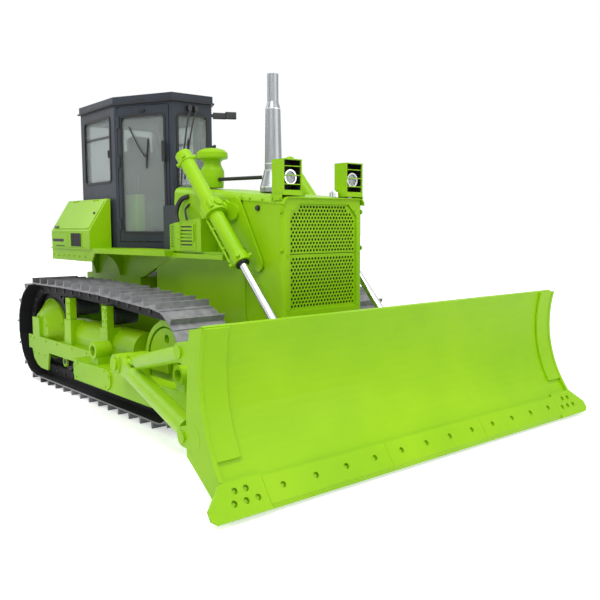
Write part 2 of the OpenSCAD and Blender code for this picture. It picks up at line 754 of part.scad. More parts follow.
module box_lid_left() color(paint) place() left_side() box_lid();
module box_lid_right() color(paint) place() right_side() box_lid();

// Fuel tank behind the cab, standing on the case
module fuel_tank() color(paint) place() {
    upward(case_top + tank_foot_h, tank_top)
        rounded(tank_rear_x, cab_rear_x - 15, -tank_half, tank_half, 70);
    both_sides() block(case_rear_x + 5, cab_rear_x - 20, 200, 300, case_top, case_top + tank_foot_h + 1);
    translate([(tank_rear_x + cab_rear_x) / 2, tank_half - 220, tank_top - 1]) cylinder(h = 50, r = 55);
}

// Drawbar jaw with its pin hole
module drawbar() color(paint) place() difference() {
    union() {
        block(drawbar_x + 90, case_rear_x, -jaw_half, jaw_half, jaw_zs[0], jaw_zs[0] + jaw_t);
        block(drawbar_x + 90, case_rear_x, -jaw_half, jaw_half, jaw_zs[1], jaw_zs[1] + jaw_t);
        for (z = jaw_zs) translate([drawbar_x + 90, 0, z]) cylinder(h = jaw_t, r = 90);
        block(case_rear_x - 40, case_rear_x, -jaw_plate_half, jaw_plate_half, jaw_plate_z[0], jaw_plate_z[1]);
    }
    translate([drawbar_x + 90, 0, jaw_plate_z[0] + 20]) cylinder(h = 300, r = drawbar_bore);
}

// Cab: six walls with their openings
module wall_cut(a, b, u, z, r) on_wall(a, b, wall_t + 60) linear_extrude(wall_t + 120)
    rounded(u[0], u[1], z[0], z[1], r);
module cab_shell() color(dark_paint) place() {
    difference() {
        upward(sill_z, roof_z) difference() {
            polygon(cab_plan);
            polygon(inset(cab_plan, wall_t));
        }
        wall_cut(cab_plan[0], cab_plan[1], front_u, front_z, corner);
        wall_cut(cab_plan[3], cab_plan[4], rear_u, rear_z, corner);
        both_sides() {
            wall_cut(cab_plan[1], cab_plan[2], door_u, door_z, 12);
            wall_cut(cab_plan[2], cab_plan[3], side_u, side_z, corner);
        }
    }
    both_sides() hinge_leaves();
}

// Roof: shallow dish with a drip edge
module cab_roof() color(dark_paint) place() {
    difference() {
        upward(roof_z, roof_z + roof_h) polygon(inset(cab_plan, -12));
        upward(roof_z - 1, roof_z + roof_h - 15) polygon(inset(cab_plan, wall_t));
    }
    upward(roof_z, roof_z + 14) difference() {
        polygon(inset(cab_plan, -26));
        polygon(inset(cab_plan, 5));
    }
}

// Fixed panes of the front, sides and rear
module pane(a, b, u, z, r, t) on_wall(a, b, t) linear_extrude(glass_t)
    rounded(u[0] + fit, u[1] - fit, z[0] + fit, z[1] - fit, r - fit);
module cab_glass() color(glass_tint, 0.4) place() {
    pane(cab_plan[0], cab_plan[1], front_u, front_z, corner, wall_t / 2);
    pane(cab_plan[3], cab_plan[4], rear_u, rear_z, corner, wall_t / 2);
    both_sides() pane(cab_plan[2], cab_plan[3], side_u, side_z, corner, wall_t / 2);
}

// Cab floor on the fenders, with the dash cowl under the front
module cab_floor() color(dark_paint) place() {
    upward(platform_z, sill_z) polygon(cab_plan);
    block(cab_front_x + fit, hood_rear_x + 1 - fit, -cowl_half, cowl_half, rail_top, cowl_z);
}

// Operator's seat
module seat() color(black) place() {
    block(seat_x[0] + 60, seat_x[1] - 120, -160, 160, sill_z, sill_z + seat_h - 130);
    upward(sill_z + seat_h - 131, sill_z + seat_h)
        rounded(seat_x[0], seat_x[1], -seat_half, seat_half, 60);
    translate([seat_x[0] + 20, 0, sill_z + seat_h - 40]) rotate([0, -12, 0]) {
        along(-60, 50) rounded(-235, 235, 0, 620, 70);
        along(-40, 30) rounded(-130, 130, 600, 800, 50);
    }
}

// Boxes beside the seat and the dash
module console() color(paint) place() {
    both_sides() upward(sill_z, sill_z + console_h)
        rounded(console_x[0], console_x[1], console_y[0], console_y[1], 30);
    upward(sill_z, sill_z + dash_h) rounded(dash_x[0], dash_x[1], -dash_half, dash_half, 40);
}

// Steering and blade levers on the consoles
module levers() color(black) place() both_sides() for (x = [-560, -480]) {
    translate([x, 345, sill_z + console_h + fit]) cylinder(h = 30, r = 16);
    bar([x, 345, sill_z + console_h + 20], [x + 40, 345, sill_z + console_h + 210], 9);
    translate([x + 40, 345, sill_z + console_h + 225]) sphere(24);
}

// Work lamp and mirror arm on the front left pillar
module cab_mirror() color(black) place() on_wall(cab_plan[1], cab_plan[2], -fit) {
    linear_extrude(230) rounded(4, 34, roof_z - 122, roof_z - 88, 8);
    translate([0, 0, 150]) linear_extrude(110) rounded(-8, 46, roof_z - 136, roof_z - 62, 12);
}

// Door, hinged at its rear edge, with a window
door_gap = 8;
hinge_gap = 6;
hinge_out = 9;
hinge_u = door_u[1] - hinge_gap - 16;
hinge_foot = platform_z + 250;
hinge_head = roof_z - 175;
hinge_zs = [hinge_foot, hinge_foot + 0.619 * (hinge_head - hinge_foot), hinge_head];
hinge_h = 60;
knuckle_r = 14;
// Upright cylinder on the hinge line of the left door
module knuckle(z0, z1, r) on_wall(cab_plan[1], cab_plan[2], -hinge_out)
    translate([hinge_u, z0, 0]) rotate([-90, 0, 0]) cylinder(h = z1 - z0, r = r);
module door() {
    difference() {
        on_wall(cab_plan[1], cab_plan[2], wall_t - 4) linear_extrude(wall_t - 4)
            rounded(door_u[0] + door_gap, door_u[1] - hinge_gap,
                door_z[0] + door_gap, door_z[1] - door_gap, 10);
        wall_cut(cab_plan[1], cab_plan[2], pane_u, pane_z, corner);
        for (z = hinge_zs) knuckle(z - 2, z + hinge_h + 2, knuckle_r + 2);
    }
    for (z = hinge_zs) knuckle(z - hinge_h, z, knuckle_r);
    on_wall(cab_plan[1], cab_plan[2], 1) translate([door_u[0] + 30, platform_z + 880, 0])
        linear_extrude(45)
        rounded(0, 26, 0, 190, 12);
}
// Fixed half of the hinges, on the cab's middle pillar
module hinge_leaves() for (z = hinge_zs) {
    knuckle(z + fit, z + hinge_h, knuckle_r);
    on_wall(cab_plan[1], cab_plan[2], -2) linear_extrude(7)
        panel(hinge_u, door_len - 6, z + fit, z + hinge_h);
    on_wall(cab_plan[1], cab_plan[2], 1) linear_extrude(4)
        panel(door_u[1] + 3, door_len - 6, z + fit, z + hinge_h);
}
module door_left() color(dark_paint) place() left_side() door();
module door_right() color(dark_paint) place() right_side() door();
module door_glass() pane(cab_plan[1], cab_plan[2], pane_u, pane_z, corner, wall_t / 2);
module door_glass_left() color(glass_tint, 0.4) place() left_side() door_glass();
module door_glass_right() color(glass_tint, 0.4) place() right_side() door_glass();

// Track frame: beam, recoil cover, outer guard, carrier posts, idler yoke and push-frame trunnion
module track_frame() {
    across(track_y - beam_half, track_y + beam_half) polygon([
        [beam_x0, beam_z0 + 40], [beam_x0 + 40, beam_z0], [beam_x1, beam_z0],
        [beam_x1, beam_top], [beam_x0 + 60, beam_top], [beam_x0, beam_top - 60]]);
    along(-640, 770) intersection() {
        translate([track_y, beam_top]) circle(recoil_r);
        panel(track_y - recoil_r, track_y + recoil_r, beam_top - 20, beam_top + recoil_r);
    }
    block(guard_x0, guard_x1, guard_y, guard_y + guard_t, guard_z0, guard_z1);
    block(beam_x0 + 20, guard_x1, track_y + beam_half - 1, guard_y + 1, guard_z1 - 25, guard_z1);
    across(guard_y, guard_y + guard_t) polygon([[-1475, guard_z0 + 1], [-1430, 240], [-1330, 175],
        [-1230, 150], [-1050, 150], [-1000, guard_z0 + 1]]);
    block(-1440, -1250, drive_out + fit, guard_y + guard_t, guard_z1 - 1, sprocket_z + 130);
    for (i = [0, 1]) {
        x = carrier_xs[i];
        block(x - post_l / 2 - 25, x + post_l / 2 + 25, track_y + 60, post_out + 10, beam_top - 1, 740);
        block(x - post_l / 2, x + post_l / 2, post_out - post_t, post_out, 739, carrier_zs[i] + 95);
        block(x - post_l / 2 - 25, x + post_l / 2 + 25, track_y + beam_half - 1, post_out + 10,
            guard_z1 - 1, beam_top);
    }
    for (y = [track_y - beam_half, track_y + yoke_in])
        block(beam_x1 - 1, half_base + 90, y, y + beam_half - yoke_in, idler_z - 70, idler_z + 60);
    axle(trunnion_x, trunnion_z, track_y + beam_half - 1, arm_out - 40, trunnion_r);
    block(trunnion_x - 110, trunnion_x + 110, track_y + beam_half - 1, guard_y + guard_t + 15,
        guard_z0 - 20, guard_z1);
    block(710, 850, track_y - beam_half - 60, track_y - beam_half + 1, beam_top - 120, beam_top + 5 - fit);
}
module track_frame_left() color(paint) place() left_side() track_frame();
module track_frame_right() color(paint) place() right_side() track_frame();

// Track: one loop of grouser shoes over two rows of links
module track_ring(outer, inner, y0, y1) translate([0, 0, ground_z]) across(y0, y1) difference() {
    polygon(shoe_ring(outer));
    polygon(shoe_ring(inner));
}
module track() {
    track_ring(shoe_profile, [[-shoe_half, link_up], [shoe_half, link_up]], track_y - shoe_w / 2, track_out);
    for (y = [track_y - rail_out, track_y + rail_in])
        track_ring([[-shoe_half, link_up + 3], [shoe_half, link_up + 3]],
            [[-0.4 * shoe_step, -link_down], [0.4 * shoe_step, -link_down]], y, y + rail_out - rail_in);
}
module track_left() color(track_steel) place() left_side() track();
module track_right() color(track_steel) place() right_side() track();

// Drive sprockets with their teeth
function tooth(i) = let (a = 360 / sprocket_teeth, m = sprocket_r)
    [for (q = [[-0.32, -34], [-0.14, 22], [0.14, 22], [0.32, -34]]) (m + q[1]) * toward((i + q[0]) * a)];
module sprockets() color(track_steel) place() both_sides() translate([-half_base, 0, sprocket_z]) {
    across(track_y - 45, track_y + 45) polygon([for (i = [0 : sprocket_teeth - 1]) each tooth(i)]);
    across(track_y - 140 + fit, track_y - 44) circle(250);
}

// Final drive covers outside the sprockets
module final_drives() color(paint) place() both_sides()
    translate([-half_base, track_y + 45 + fit, sprocket_z]) rotate([-90, 0, 0]) {
    cylinder(h = 26, r = 330);
    translate([0, 0, 25.9]) cylinder(h = 125, r1 = 322, r2 = 185);
}

// Front idlers with a web disc and axle
module idlers() color(paint) place() both_sides() translate([half_base, 0, idler_z]) {
    rim = idler_r - link_down - fit;
    difference() {
        union() {
            across(track_y - rail_out, track_y + rail_out) circle(rim);
            across(track_y - rail_in + 8, track_y + rail_in - 8) circle(rim + 32);
        }
        for (y = [track_y - rail_out - 1, track_y + 55]) across(y, y + rail_out - 54) circle(rim - 45);
    }
    difference() {
        across(track_y - 105, track_y + 105) circle(rim - 60);
        for (i = [0 : 3]) translate([205 * cos(90 * i), 0, 205 * sin(90 * i)])
            axle(0, 0, track_y - 110, track_y + 110, 38);
    }
    axle(0, 0, track_y - yoke_in + fit, track_y + yoke_in - fit, 70);
}

// Carrier rollers on stub shafts from their posts
module carrier_rollers() color(track_steel) place() both_sides() for (i = [0, 1]) {
    axle(carrier_xs[i], carrier_zs[i], track_y - rail_out, track_y + rail_out, carrier_r - fit);
    axle(carrier_xs[i], carrier_zs[i], track_y + rail_out - 1, post_out - post_t - fit, 55);
}

// Track rollers between the beam and the lower rails
module track_rollers() color(track_steel) place() both_sides() for (i = [0 : roller_count - 1]) {
    x = roller_x0 + (roller_x1 - roller_x0) * i / (roller_count - 1);
    z = rail_z + roller_r + fit;
    axle(x, z, track_y - rail_out, track_y + rail_out, roller_r);
    for (y = [track_y - rail_out - 33, track_y + rail_out - 1])
        block(x - 55, x + 55, y, y + 34, z - 40, beam_z0 - fit);
}

// C-shaped push frame: arms, front crossbar, strut bosses, cylinder ears and centre ball
module c_path(grow) {
    x1 = crossbar_x + arm_t / 2 + grow;
    y1 = arm_out + grow;
    r = corner_r + arm_t / 2 + grow;
    panel(arm_x0, x1 - r, -y1, y1);
    panel(arm_x0, x1, -y1 + r, y1 - r);
    for (y = [y1 - r, r - y1]) translate([x1 - r, y]) circle(r, $fn = 96);
}
module push_frame() color(paint) place() {
    difference() {
        upward(arm_z0, arm_z1) difference() {
            c_path(0);
            translate([-1, 0]) c_path(-arm_t);
            panel(arm_x0 - 1000, arm_x0 + 0.5, -arm_in, arm_in);
        }
        both_sides() axle(trunnion_x, trunnion_z, arm_in - 1, arm_out - 30, trunnion_r + fit);
    }
    both_sides() {
        across(arm_out - 1, arm_out + 14) polygon([[arm_x0 + 60, 295], [arm_x0 + 20, 340], [arm_x0 + 20, 430],
            [arm_x0 + 80, 468], [880, 468], [950, 430], [950, 340], [890, 295]]);
        for (x = boss_xs) difference() {
            union() {
                axle(x, boss_z, arm_in + 5, arm_out + 5, boss_r);
                block(x - 55, x + 55, arm_in + 15, arm_out - 15, arm_z1 - 1, boss_z - boss_r / 2);
            }
            axle(x, boss_z, arm_in, arm_out + 10, boss_bore);
        }
        for (y = [cyl_y - ear_gap / 2 - ear_t, cyl_y + ear_gap / 2]) across(y, y + ear_t)
            teardrop_plate([eye_x, eye_z], 75, [crossbar_x - 10, arm_z1 - 20], 100);
        for (y = [cyl_y - ear_gap / 2 - ear_t - 16, cyl_y + ear_gap / 2 + ear_t - 1])
            axle(eye_x, eye_z, y, y + 17, 45);
    }
    along(crossbar_x + arm_t / 2 - 1, ball_x) translate([0, ball_z]) circle(60);
    translate([ball_x, 0, ball_z]) sphere(ball_r);
}

// Lower struts from the middle bosses to the blade's foot, with a forked ear for the brace
module struts() color(paint) place() both_sides() {
    d = strut_front - strut_rear;
    axle(strut_rear[0], strut_rear[2], strut_rear[1] - 70, strut_rear[1] + 70, 80);
    axle(strut_rear[0], strut_rear[2], arm_in + 20, strut_rear[1] - 69, boss_bore - fit);
    axle(strut_rear[0], strut_rear[2], strut_rear[1] + 69, strut_rear[1] + 88, 48);
    translate([strut_rear[0], strut_rear[1], 0]) rotate([0, 0, strut_plan])
        for (y = [-fork_gap - 24, fork_gap]) across(y, y + 24) {
            teardrop_plate([0, strut_rear[2]], 66, [brace_l, brace_rear[2]], 60);
            teardrop_plate([0, strut_rear[2]], 66, [tube_l + 60, strut_rear[2] + d[2] * tube_share - 6], 52);
        }
    bar(strut_rear + tube_share * d, strut_front - 80 * unit(d), strut_r);
    bar(strut_front - 85 * unit(d), strut_front, 28);
    axle(strut_front[0], strut_front[2], strut_front[1] - lug_w / 2, strut_front[1] + lug_w / 2, 52);
}

// Upper braces from the struts to the blade's shoulder
module braces() color(paint) place() both_sides() {
    d = brace_front - brace_rear;
    translate([brace_rear[0], brace_rear[1], 0]) rotate([0, 0, strut_plan])
        axle(0, brace_rear[2], -fork_gap + fit, fork_gap - fit, 50);
    bar(brace_rear + 0.02 * d, brace_rear + 0.25 * d, 18);
    bar(brace_rear + 0.24 * d, brace_front - 0.07 * d, brace_r);
    bar(brace_front - 0.075 * d, brace_front, 26);
    axle(brace_front[0], brace_front[2], brace_front[1] - lug_w / 2, brace_front[1] + lug_w / 2, 50);
}

// Mouldboard: curved plate, box beams and ribs behind it, side plates and pin lugs
module moldboard() color(paint) place() {
    half = moldboard_w / 2;
    reverse_back = [for (i = [face_steps : -1 : 0]) face(moldboard_t)[i]];
    across(-half, half) polygon(concat([tip + lean(40)], face(0), reverse_back,
        [out(tip + lean(40), moldboard_t)]));
    across(-half, half) polygon([out(tip + lean(60), moldboard_t - 1), out(bend, moldboard_t - 1),
        face(moldboard_t - 1)[4], [back_x, 470], [back_x, 300]]);
    across(-half, half) polygon([face(moldboard_t - 1)[face_steps], face(moldboard_t - 1)[face_steps - 3],
        [blade_top[0] - 110, blade_z1 - 190], [blade_top[0] - 110, blade_z1 - 30]]);
    for (i = [-3 : 3]) translate([0, i * half / 3.6, 0]) across(-15, 15) polygon(concat(
        [for (k = [3 : face_steps - 2]) face(moldboard_t - 1)[k]],
        [[blade_top[0] - 105, blade_z1 - 150], [back_x + 5, 460]]));
    both_sides() {
        across(half - 1, half + side_t) polygon(concat(
            [tip + lean(30), tip + lean(edge_l + 22), out(tip + lean(edge_l + 22), -side_lip)],
            face(-side_lip),
            [blade_top + [-115, -20], [back_x - 10, 560], [back_x - 10, 290], out(tip + lean(30), 60)]));
        for (p = [strut_front, brace_front])
            for (y = [p[1] - lug_w / 2 - fit - lug_t, p[1] + lug_w / 2 + fit]) across(y, y + lug_t)
            difference() {
                teardrop_plate([p[0], p[2]], 62, [back_x + 60, p[2] + 10], 80);
                circle_at([p[0], p[2]], 28);
            }
        for (p = [strut_front, brace_front])
            axle(p[0], p[2], p[1] + lug_w / 2 + 2 * fit, p[1] + lug_w / 2 + lug_t + 14, 36);
    }
    difference() {
        block(ball_x - 20, back_x + 20, -150, 150, ball_z - 120, ball_z + 120);
        translate([ball_x, 0, ball_z]) sphere(ball_r + fit);
        along(ball_x - 25, ball_x) translate([0, ball_z]) circle(ball_r + 10);
    }
}

// Bolt hole through the edge, s up its face and y out
module edge_bore(s, y) {
    p = tip + lean(s);
    bar([out(p, 1)[0], y, out(p, 1)[1]], [out(p, -edge_t - 1)[0], y, out(p, -edge_t - 1)[1]], bolt_bore);
}

// Cutting edge in three bolted lengths
module cutting_edge() color(paint) place() {
    inner = blade_w / 2 - end_bit_l - 1;
    for (i = [-1 : 1]) translate([0, i * 2 * inner / 3, 0]) difference() {
        across(-inner / 3 + 1, inner / 3 - 1) polygon([out(tip, -fit), out(tip + lean(edge_l), -fit),
            out(tip + lean(edge_l), -edge_t), out(tip + lean(30), -edge_t)]);
        for (k = [0 : edge_bolts - 1]) edge_bore(edge_bolt_s, ((k + 0.5) / edge_bolts - 0.5) * 2 * inner / 3);
    }
}

// End bits, flared beyond the side plates
module end_bits() color(paint) place() both_sides() {
    inner = blade_w / 2 - end_bit_l;
    difference() {
        translate([tip[0], 0, tip[1]]) rotate([0, cutting_angle - 180, 0])
            translate([0, 0, -edge_t]) linear_extrude(edge_t - fit)
            polygon([[0, inner], [0, blade_w / 2 - 40], [30, blade_w / 2], [90, blade_w / 2],
                [edge_l + 20, blade_w / 2 - end_bit_taper], [edge_l + 20, inner]]);
        for (p = end_bolts) edge_bore(p[0], blade_w / 2 - p[1]);
    }
}

// Lift cylinder barrel in its yoke, on a shaft towards the hood
module along_cylinder() translate([cyl_x, cyl_y, cyl_z]) rotate([0, -cyl_angle, 0]) rotate([0, 90, 0])
    children();
module lift_barrel() {
    difference() {
        union() {
            along_cylinder() {
                translate([0, 0, -barrel_back]) cylinder(h = barrel_back + barrel_ahead, r = barrel_r);
                translate([0, 0, -barrel_back - 18]) cylinder(h = 110, r = barrel_r + 8);
                translate([0, 0, barrel_ahead - 90]) cylinder(h = 90, r = barrel_r + 10);
                translate([0, 0, -yoke_l / 2]) cylinder(h = yoke_l, r = yoke_r);
            }
            axle(cyl_x, cyl_z, hood_half + 2, cyl_y - barrel_r + 14, shaft_r);
            axle(cyl_x, cyl_z, bearing_y + bearing_w + 1, cyl_y - yoke_r + 20, shaft_r + 22);
        }
        along_cylinder() translate([0, 0, -barrel_back + 40]) cylinder(h = 3000, r = rod_r + fit);
    }
}
module lift_barrel_left() color(paint) place() left_side() lift_barrel();
module lift_barrel_right() color(paint) place() right_side() lift_barrel();

// Rod with its eye, the pin's middle filling the eye
module lift_rod() {
    along_cylinder() translate([0, 0, 690 - barrel_back])
        cylinder(h = cyl_len + barrel_back - 690 - eye_r / 2, r = rod_r);
    axle(eye_x, eye_z, cyl_y - eye_t / 2, cyl_y + eye_t / 2, eye_r);
}
module lift_rod_left() color(bright_steel) place() left_side() lift_rod();
module lift_rod_right() color(bright_steel) place() right_side() lift_rod();

main_frame();
engine_block();
hood_cover();
hood_nose();
radiator_guard();
grille_upper();
grille_lower();
headlamps();
headlamp_lenses();
exhaust_stack();
precleaner();
aspirator_pipe();
louver_box_right();
louver_box_left();
cylinder_bracket_right();
cylinder_bracket_left();
fender_right();
fender_left();
side_box_right();
side_box_left();
box_lid_right();
box_lid_left();
fuel_tank();
drawbar();
cab_shell();
cab_roof();
cab_glass();
cab_floor();
seat();
console();
levers();
cab_mirror();
door_right();
door_left();
door_glass_right();
door_glass_left();
track_frame_right();
track_frame_left();
track_right();
track_left();
sprockets();
final_drives();
idlers();
carrier_rollers();
track_rollers();
push_frame();
struts();
braces();
moldboard();
cutting_edge();
end_bits();
lift_barrel_right();
lift_barrel_left();
lift_rod_right();
lift_rod_left();
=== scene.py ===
"""Looks for a lime-green crawler dozer: materials, trim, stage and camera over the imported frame."""

import math

import bmesh
import bpy
from mathutils import Matrix, Vector


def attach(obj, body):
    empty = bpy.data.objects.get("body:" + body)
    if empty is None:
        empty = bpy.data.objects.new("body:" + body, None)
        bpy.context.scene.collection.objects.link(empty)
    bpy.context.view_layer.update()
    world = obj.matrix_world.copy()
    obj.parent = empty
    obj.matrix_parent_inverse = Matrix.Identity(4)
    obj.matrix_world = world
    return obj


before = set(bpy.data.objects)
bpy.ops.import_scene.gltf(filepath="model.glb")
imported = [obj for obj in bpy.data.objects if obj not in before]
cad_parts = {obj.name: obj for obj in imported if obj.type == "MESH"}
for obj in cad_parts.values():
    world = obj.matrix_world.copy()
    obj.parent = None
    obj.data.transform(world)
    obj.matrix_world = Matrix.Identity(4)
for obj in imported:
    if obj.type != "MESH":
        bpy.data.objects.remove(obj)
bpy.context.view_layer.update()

bl_info = {
    "name": "Crawler dozer looks",
    "version": (1, 0, 0),
    "blender": (4, 5, 0),
    "location": "View3D > Sidebar > Dozer",
    "description": "Materials, trim, stage and camera for a crawler dozer",
    "category": "Object",
}

# Bodies that carry most of the trim
TRACTOR = "tractor"
BLADE = "blade_frame"

# Millimetres in a metre, and links in a track
MM = 1000
LINKS = 38

# Places of the part's source, in millimetres: X forward from the middle of the tracks, Y to the left, Z up
MID_X = 647.0
TRACK_Y = 940.0
SPROCKET_X, SPROCKET_Z = -1268.6, 563.7
CARRIER_XS = (-548, 280)
ROLLER_Z = 277.5
LAMP_X, LAMP_Y = 1930, 342
BOX_Y = 815
CAB_REAR_X = -1495
TRUNNION_X, TRUNNION_Y, TRUNNION_Z = 1322, 600, 1814
EDGE_TIP_X, EDGE_TIP_Z = 3354, 22
# Lean of the cutting edge from the ground, in degrees
EDGE_LEAN = 55


def at(x, y, z):
    """Point of the part's source, in millimetres, as a point of the scene in metres."""
    return Vector(((x - MID_X) / MM, y / MM, z / MM))


def srgb(text):
    """Linear colour from an sRGB hex text."""
    parts = [int(text[i:i + 2], 16) / 255 for i in (1, 3, 5)]
    return [c / 12.92 if c <= 0.04045 else ((c + 0.055) / 1.055) ** 2.4 for c in parts]


# Materials

# Sockets of a colour mix, whose names repeat for its other kinds of data
FACTOR, COLOUR_A, COLOUR_B, MIXED = 0, 6, 7, 2


def node(owner, kind, inputs, **settings):
    """One node of a material or world: settings on it, a value or another node's output on each input."""
    made = owner.node_tree.nodes.new(kind)
    for key, value in settings.items():
        setattr(made, key, value)
    for key, value in inputs.items():
        if isinstance(value, bpy.types.NodeSocket):
            owner.node_tree.links.new(value, made.inputs[key])
        else:
            made.inputs[key].default_value = value
    return made.outputs


def blank(name):
    """Empty node material and its object coordinates, in metres."""
    mat = bpy.data.materials.new(name)
    mat.use_nodes = True
    mat.node_tree.nodes.clear()
    return mat, node(mat, "ShaderNodeTexCoord", {})["Object"]


def per_metre(size):
    """Noise scale for a pattern of a size in millimetres."""
    return MM / size


def surface(mat, inputs):
    """Principled shader with these inputs, wired to the output."""
    shader = node(mat, "ShaderNodeBsdfPrincipled", inputs)["BSDF"]
    node(mat, "ShaderNodeOutputMaterial", {"Surface": shader})
    return mat


def colours(dark, light):
    """Two linear colours as the A and B inputs of a colour mix."""
    return {COLOUR_A: (*dark, 1), COLOUR_B: (*light, 1)}


def two_toned(mat, share, tones, gloss, relief, more):
    """Surface of two tones mixed by a share, with a range of roughness and a bump."""
    return surface(mat, {
        "Base Color": node(mat, "ShaderNodeMix", {FACTOR: share, **tones}, data_type="RGBA")[MIXED],
        "Roughness": node(mat, "ShaderNodeMapRange", gloss)["Result"],
        "Normal": node(mat, "ShaderNodeBump", relief)["Normal"],
        **more})


def enamel(name, dark, light, rough, coat):
    """Sprayed machine enamel."""
    # Even colour that drifts slowly over a panel of 800 mm, a soft sheen that changes over 110 mm, and an
    # orange peel drawn at 2.5 mm, coarser than the real one so that it shows
    mat, place = blank(name)
    drift = node(mat, "ShaderNodeTexNoise", {"Vector": place, "Scale": per_metre(800), "Detail": 4.0})["Fac"]
    share = node(mat, "ShaderNodeMapRange", {"Value": drift, "From Min": 0.3, "From Max": 0.7})["Result"]
    sheen = node(mat, "ShaderNodeTexNoise", {"Vector": place, "Scale": per_metre(110), "Detail": 5.0})["Fac"]
    peel = node(mat, "ShaderNodeTexNoise", {"Vector": place, "Scale": per_metre(2.5), "Detail": 2.0})["Fac"]
    return two_toned(mat, share, colours(dark, light),
                     {"Value": sheen, "To Min": rough - 0.06, "To Max": rough + 0.08},
                     {"Height": peel, "Strength": 0.05, "Distance": 0.0006},
                     {"Coat Weight": coat, "Coat Roughness": 0.12, "Specular IOR Level": 0.16})


def scaled_steel(name, dark, light, rough, metal, grain):
    """Rolled or cast steel with mill scale, rubbed in patches of 70 mm, over a grain given in millimetres."""
    mat, place = blank(name)
    rubbed = node(mat, "ShaderNodeTexNoise", {"Vector": place, "Scale": per_metre(70), "Detail": 6.0})["Fac"]
    share = node(mat, "ShaderNodeMapRange", {"Value": rubbed, "From Min": 0.32, "From Max": 0.7})["Result"]
    sheen = node(mat, "ShaderNodeTexNoise", {"Vector": place, "Scale": per_metre(28), "Detail": 4.0})["Fac"]
    pits = node(mat, "ShaderNodeTexNoise", {"Vector": place, "Scale": per_metre(grain), "Detail": 4.0})["Fac"]
    return two_toned(mat, share, colours(dark, light),
                     {"Value": sheen, "To Min": rough - 0.1, "To Max": rough + 0.12},
                     {"Height": pits, "Strength": 0.22, "Distance": 0.002},
                     {"Metallic": metal})


def track_steel(name, side, dark, light, rough, metal):
    """Rolled track shoes: plates rubbed bright by the ground, the sides of the links left dark."""
    # Patches of 70 mm and pits of 11 mm show on the plates; link sides, within 160 mm of the chain's middle,
    # keep the dark oily scale
    mat, place = blank(name)
    rubbed = node(mat, "ShaderNodeTexNoise", {"Vector": place, "Scale": per_metre(70), "Detail": 6.0})["Fac"]
    share = node(mat, "ShaderNodeMapRange", {"Value": rubbed, "From Min": 0.32, "From Max": 0.7})["Result"]
    plate = node(mat, "ShaderNodeMix", {FACTOR: share, **colours(dark, light)}, data_type="RGBA")[MIXED]
    facing = node(mat, "ShaderNodeNewGeometry", {})["True Normal"]
    across = node(mat, "ShaderNodeSeparateXYZ", {"Vector": facing})["Y"]
    across = node(mat, "ShaderNodeMath", {0: across}, operation="ABSOLUTE")["Value"]
    across = node(mat, "ShaderNodeMapRange", {"Value": across, "From Min": 0.5, "From Max": 0.9})["Result"]
    out = node(mat, "ShaderNodeSeparateXYZ", {"Vector": place})["Y"]
    out = node(mat, "ShaderNodeMath", {0: out}, operation="ABSOLUTE")["Value"]
    chain = node(mat, "ShaderNodeMath", {0: out, 1: TRACK_Y / MM, 2: 0.16}, operation="COMPARE")["Value"]
    linked = node(mat, "ShaderNodeMath", {0: across, 1: chain}, operation="MULTIPLY")["Value"]
    # Faces that look in, towards the middle of the loop, are never rubbed; the loop is long, so its length
    # counts for less than its height
    middle = (-MID_X / MM, 0, 0.55)
    weights = (0.4, 0, 1)
    reach = node(mat, "ShaderNodeVectorMath", {0: place, 1: middle}, operation="SUBTRACT")["Vector"]
    reach = node(mat, "ShaderNodeVectorMath", {0: reach, 1: weights}, operation="MULTIPLY")["Vector"]
    inward = node(mat, "ShaderNodeVectorMath", {0: reach, 1: facing}, operation="DOT_PRODUCT")["Value"]
    inward = node(mat, "ShaderNodeMapRange", {"Value": inward, "From Min": -0.1, "From Max": -0.5})["Result"]
    unrubbed = node(mat, "ShaderNodeMath", {0: linked, 1: inward}, operation="MAXIMUM")["Value"]
    pits = node(mat, "ShaderNodeTexNoise", {"Vector": place, "Scale": per_metre(11), "Detail": 4.0})["Fac"]
    return two_toned(mat, unrubbed, {COLOUR_A: plate, COLOUR_B: (*side, 1)},
                     {"Value": rubbed, "To Min": rough - 0.1, "To Max": rough + 0.12},
                     {"Height": pits, "Strength": 0.22, "Distance": 0.002},
                     {"Metallic": metal, "Specular IOR Level": 0.2})


def moulded(name, dark, light, rough, patch, grain):
    """Moulded plastic, rubber or vinyl: two close tones in patches and a fine grain, both in millimetres."""
    mat, place = blank(name)
    tone = node(mat, "ShaderNodeTexNoise", {"Vector": place, "Scale": per_metre(patch), "Detail": 3.0})["Fac"]
    skin = node(mat, "ShaderNodeTexNoise", {"Vector": place, "Scale": per_metre(grain), "Detail": 3.0})["Fac"]
    return two_toned(mat, tone, colours(dark, light),
                     {"Value": tone, "To Min": rough - 0.06, "To Max": rough + 0.06},
                     {"Height": skin, "Strength": 0.12, "Distance": 0.0008},
                     {"IOR": 1.5})


def drawn_metal(name, dark, light, rough, stretch):
    """Drawn or spun metal: lines 17 mm apart, drawn wider than real ones so that they show."""
    mat, place = blank(name)
    along = node(mat, "ShaderNodeMapping", {"Vector": place, "Scale": stretch})["Vector"]
    lines = node(mat, "ShaderNodeTexNoise", {"Vector": along, "Scale": per_metre(17), "Detail": 4.0})["Fac"]
    return two_toned(mat, lines, colours(dark, light),
                     {"Value": lines, "To Min": rough - 0.06, "To Max": rough + 0.1},
                     {"Height": lines, "Strength": 0.04, "Distance": 0.0008},
                     {"Metallic": 1.0})


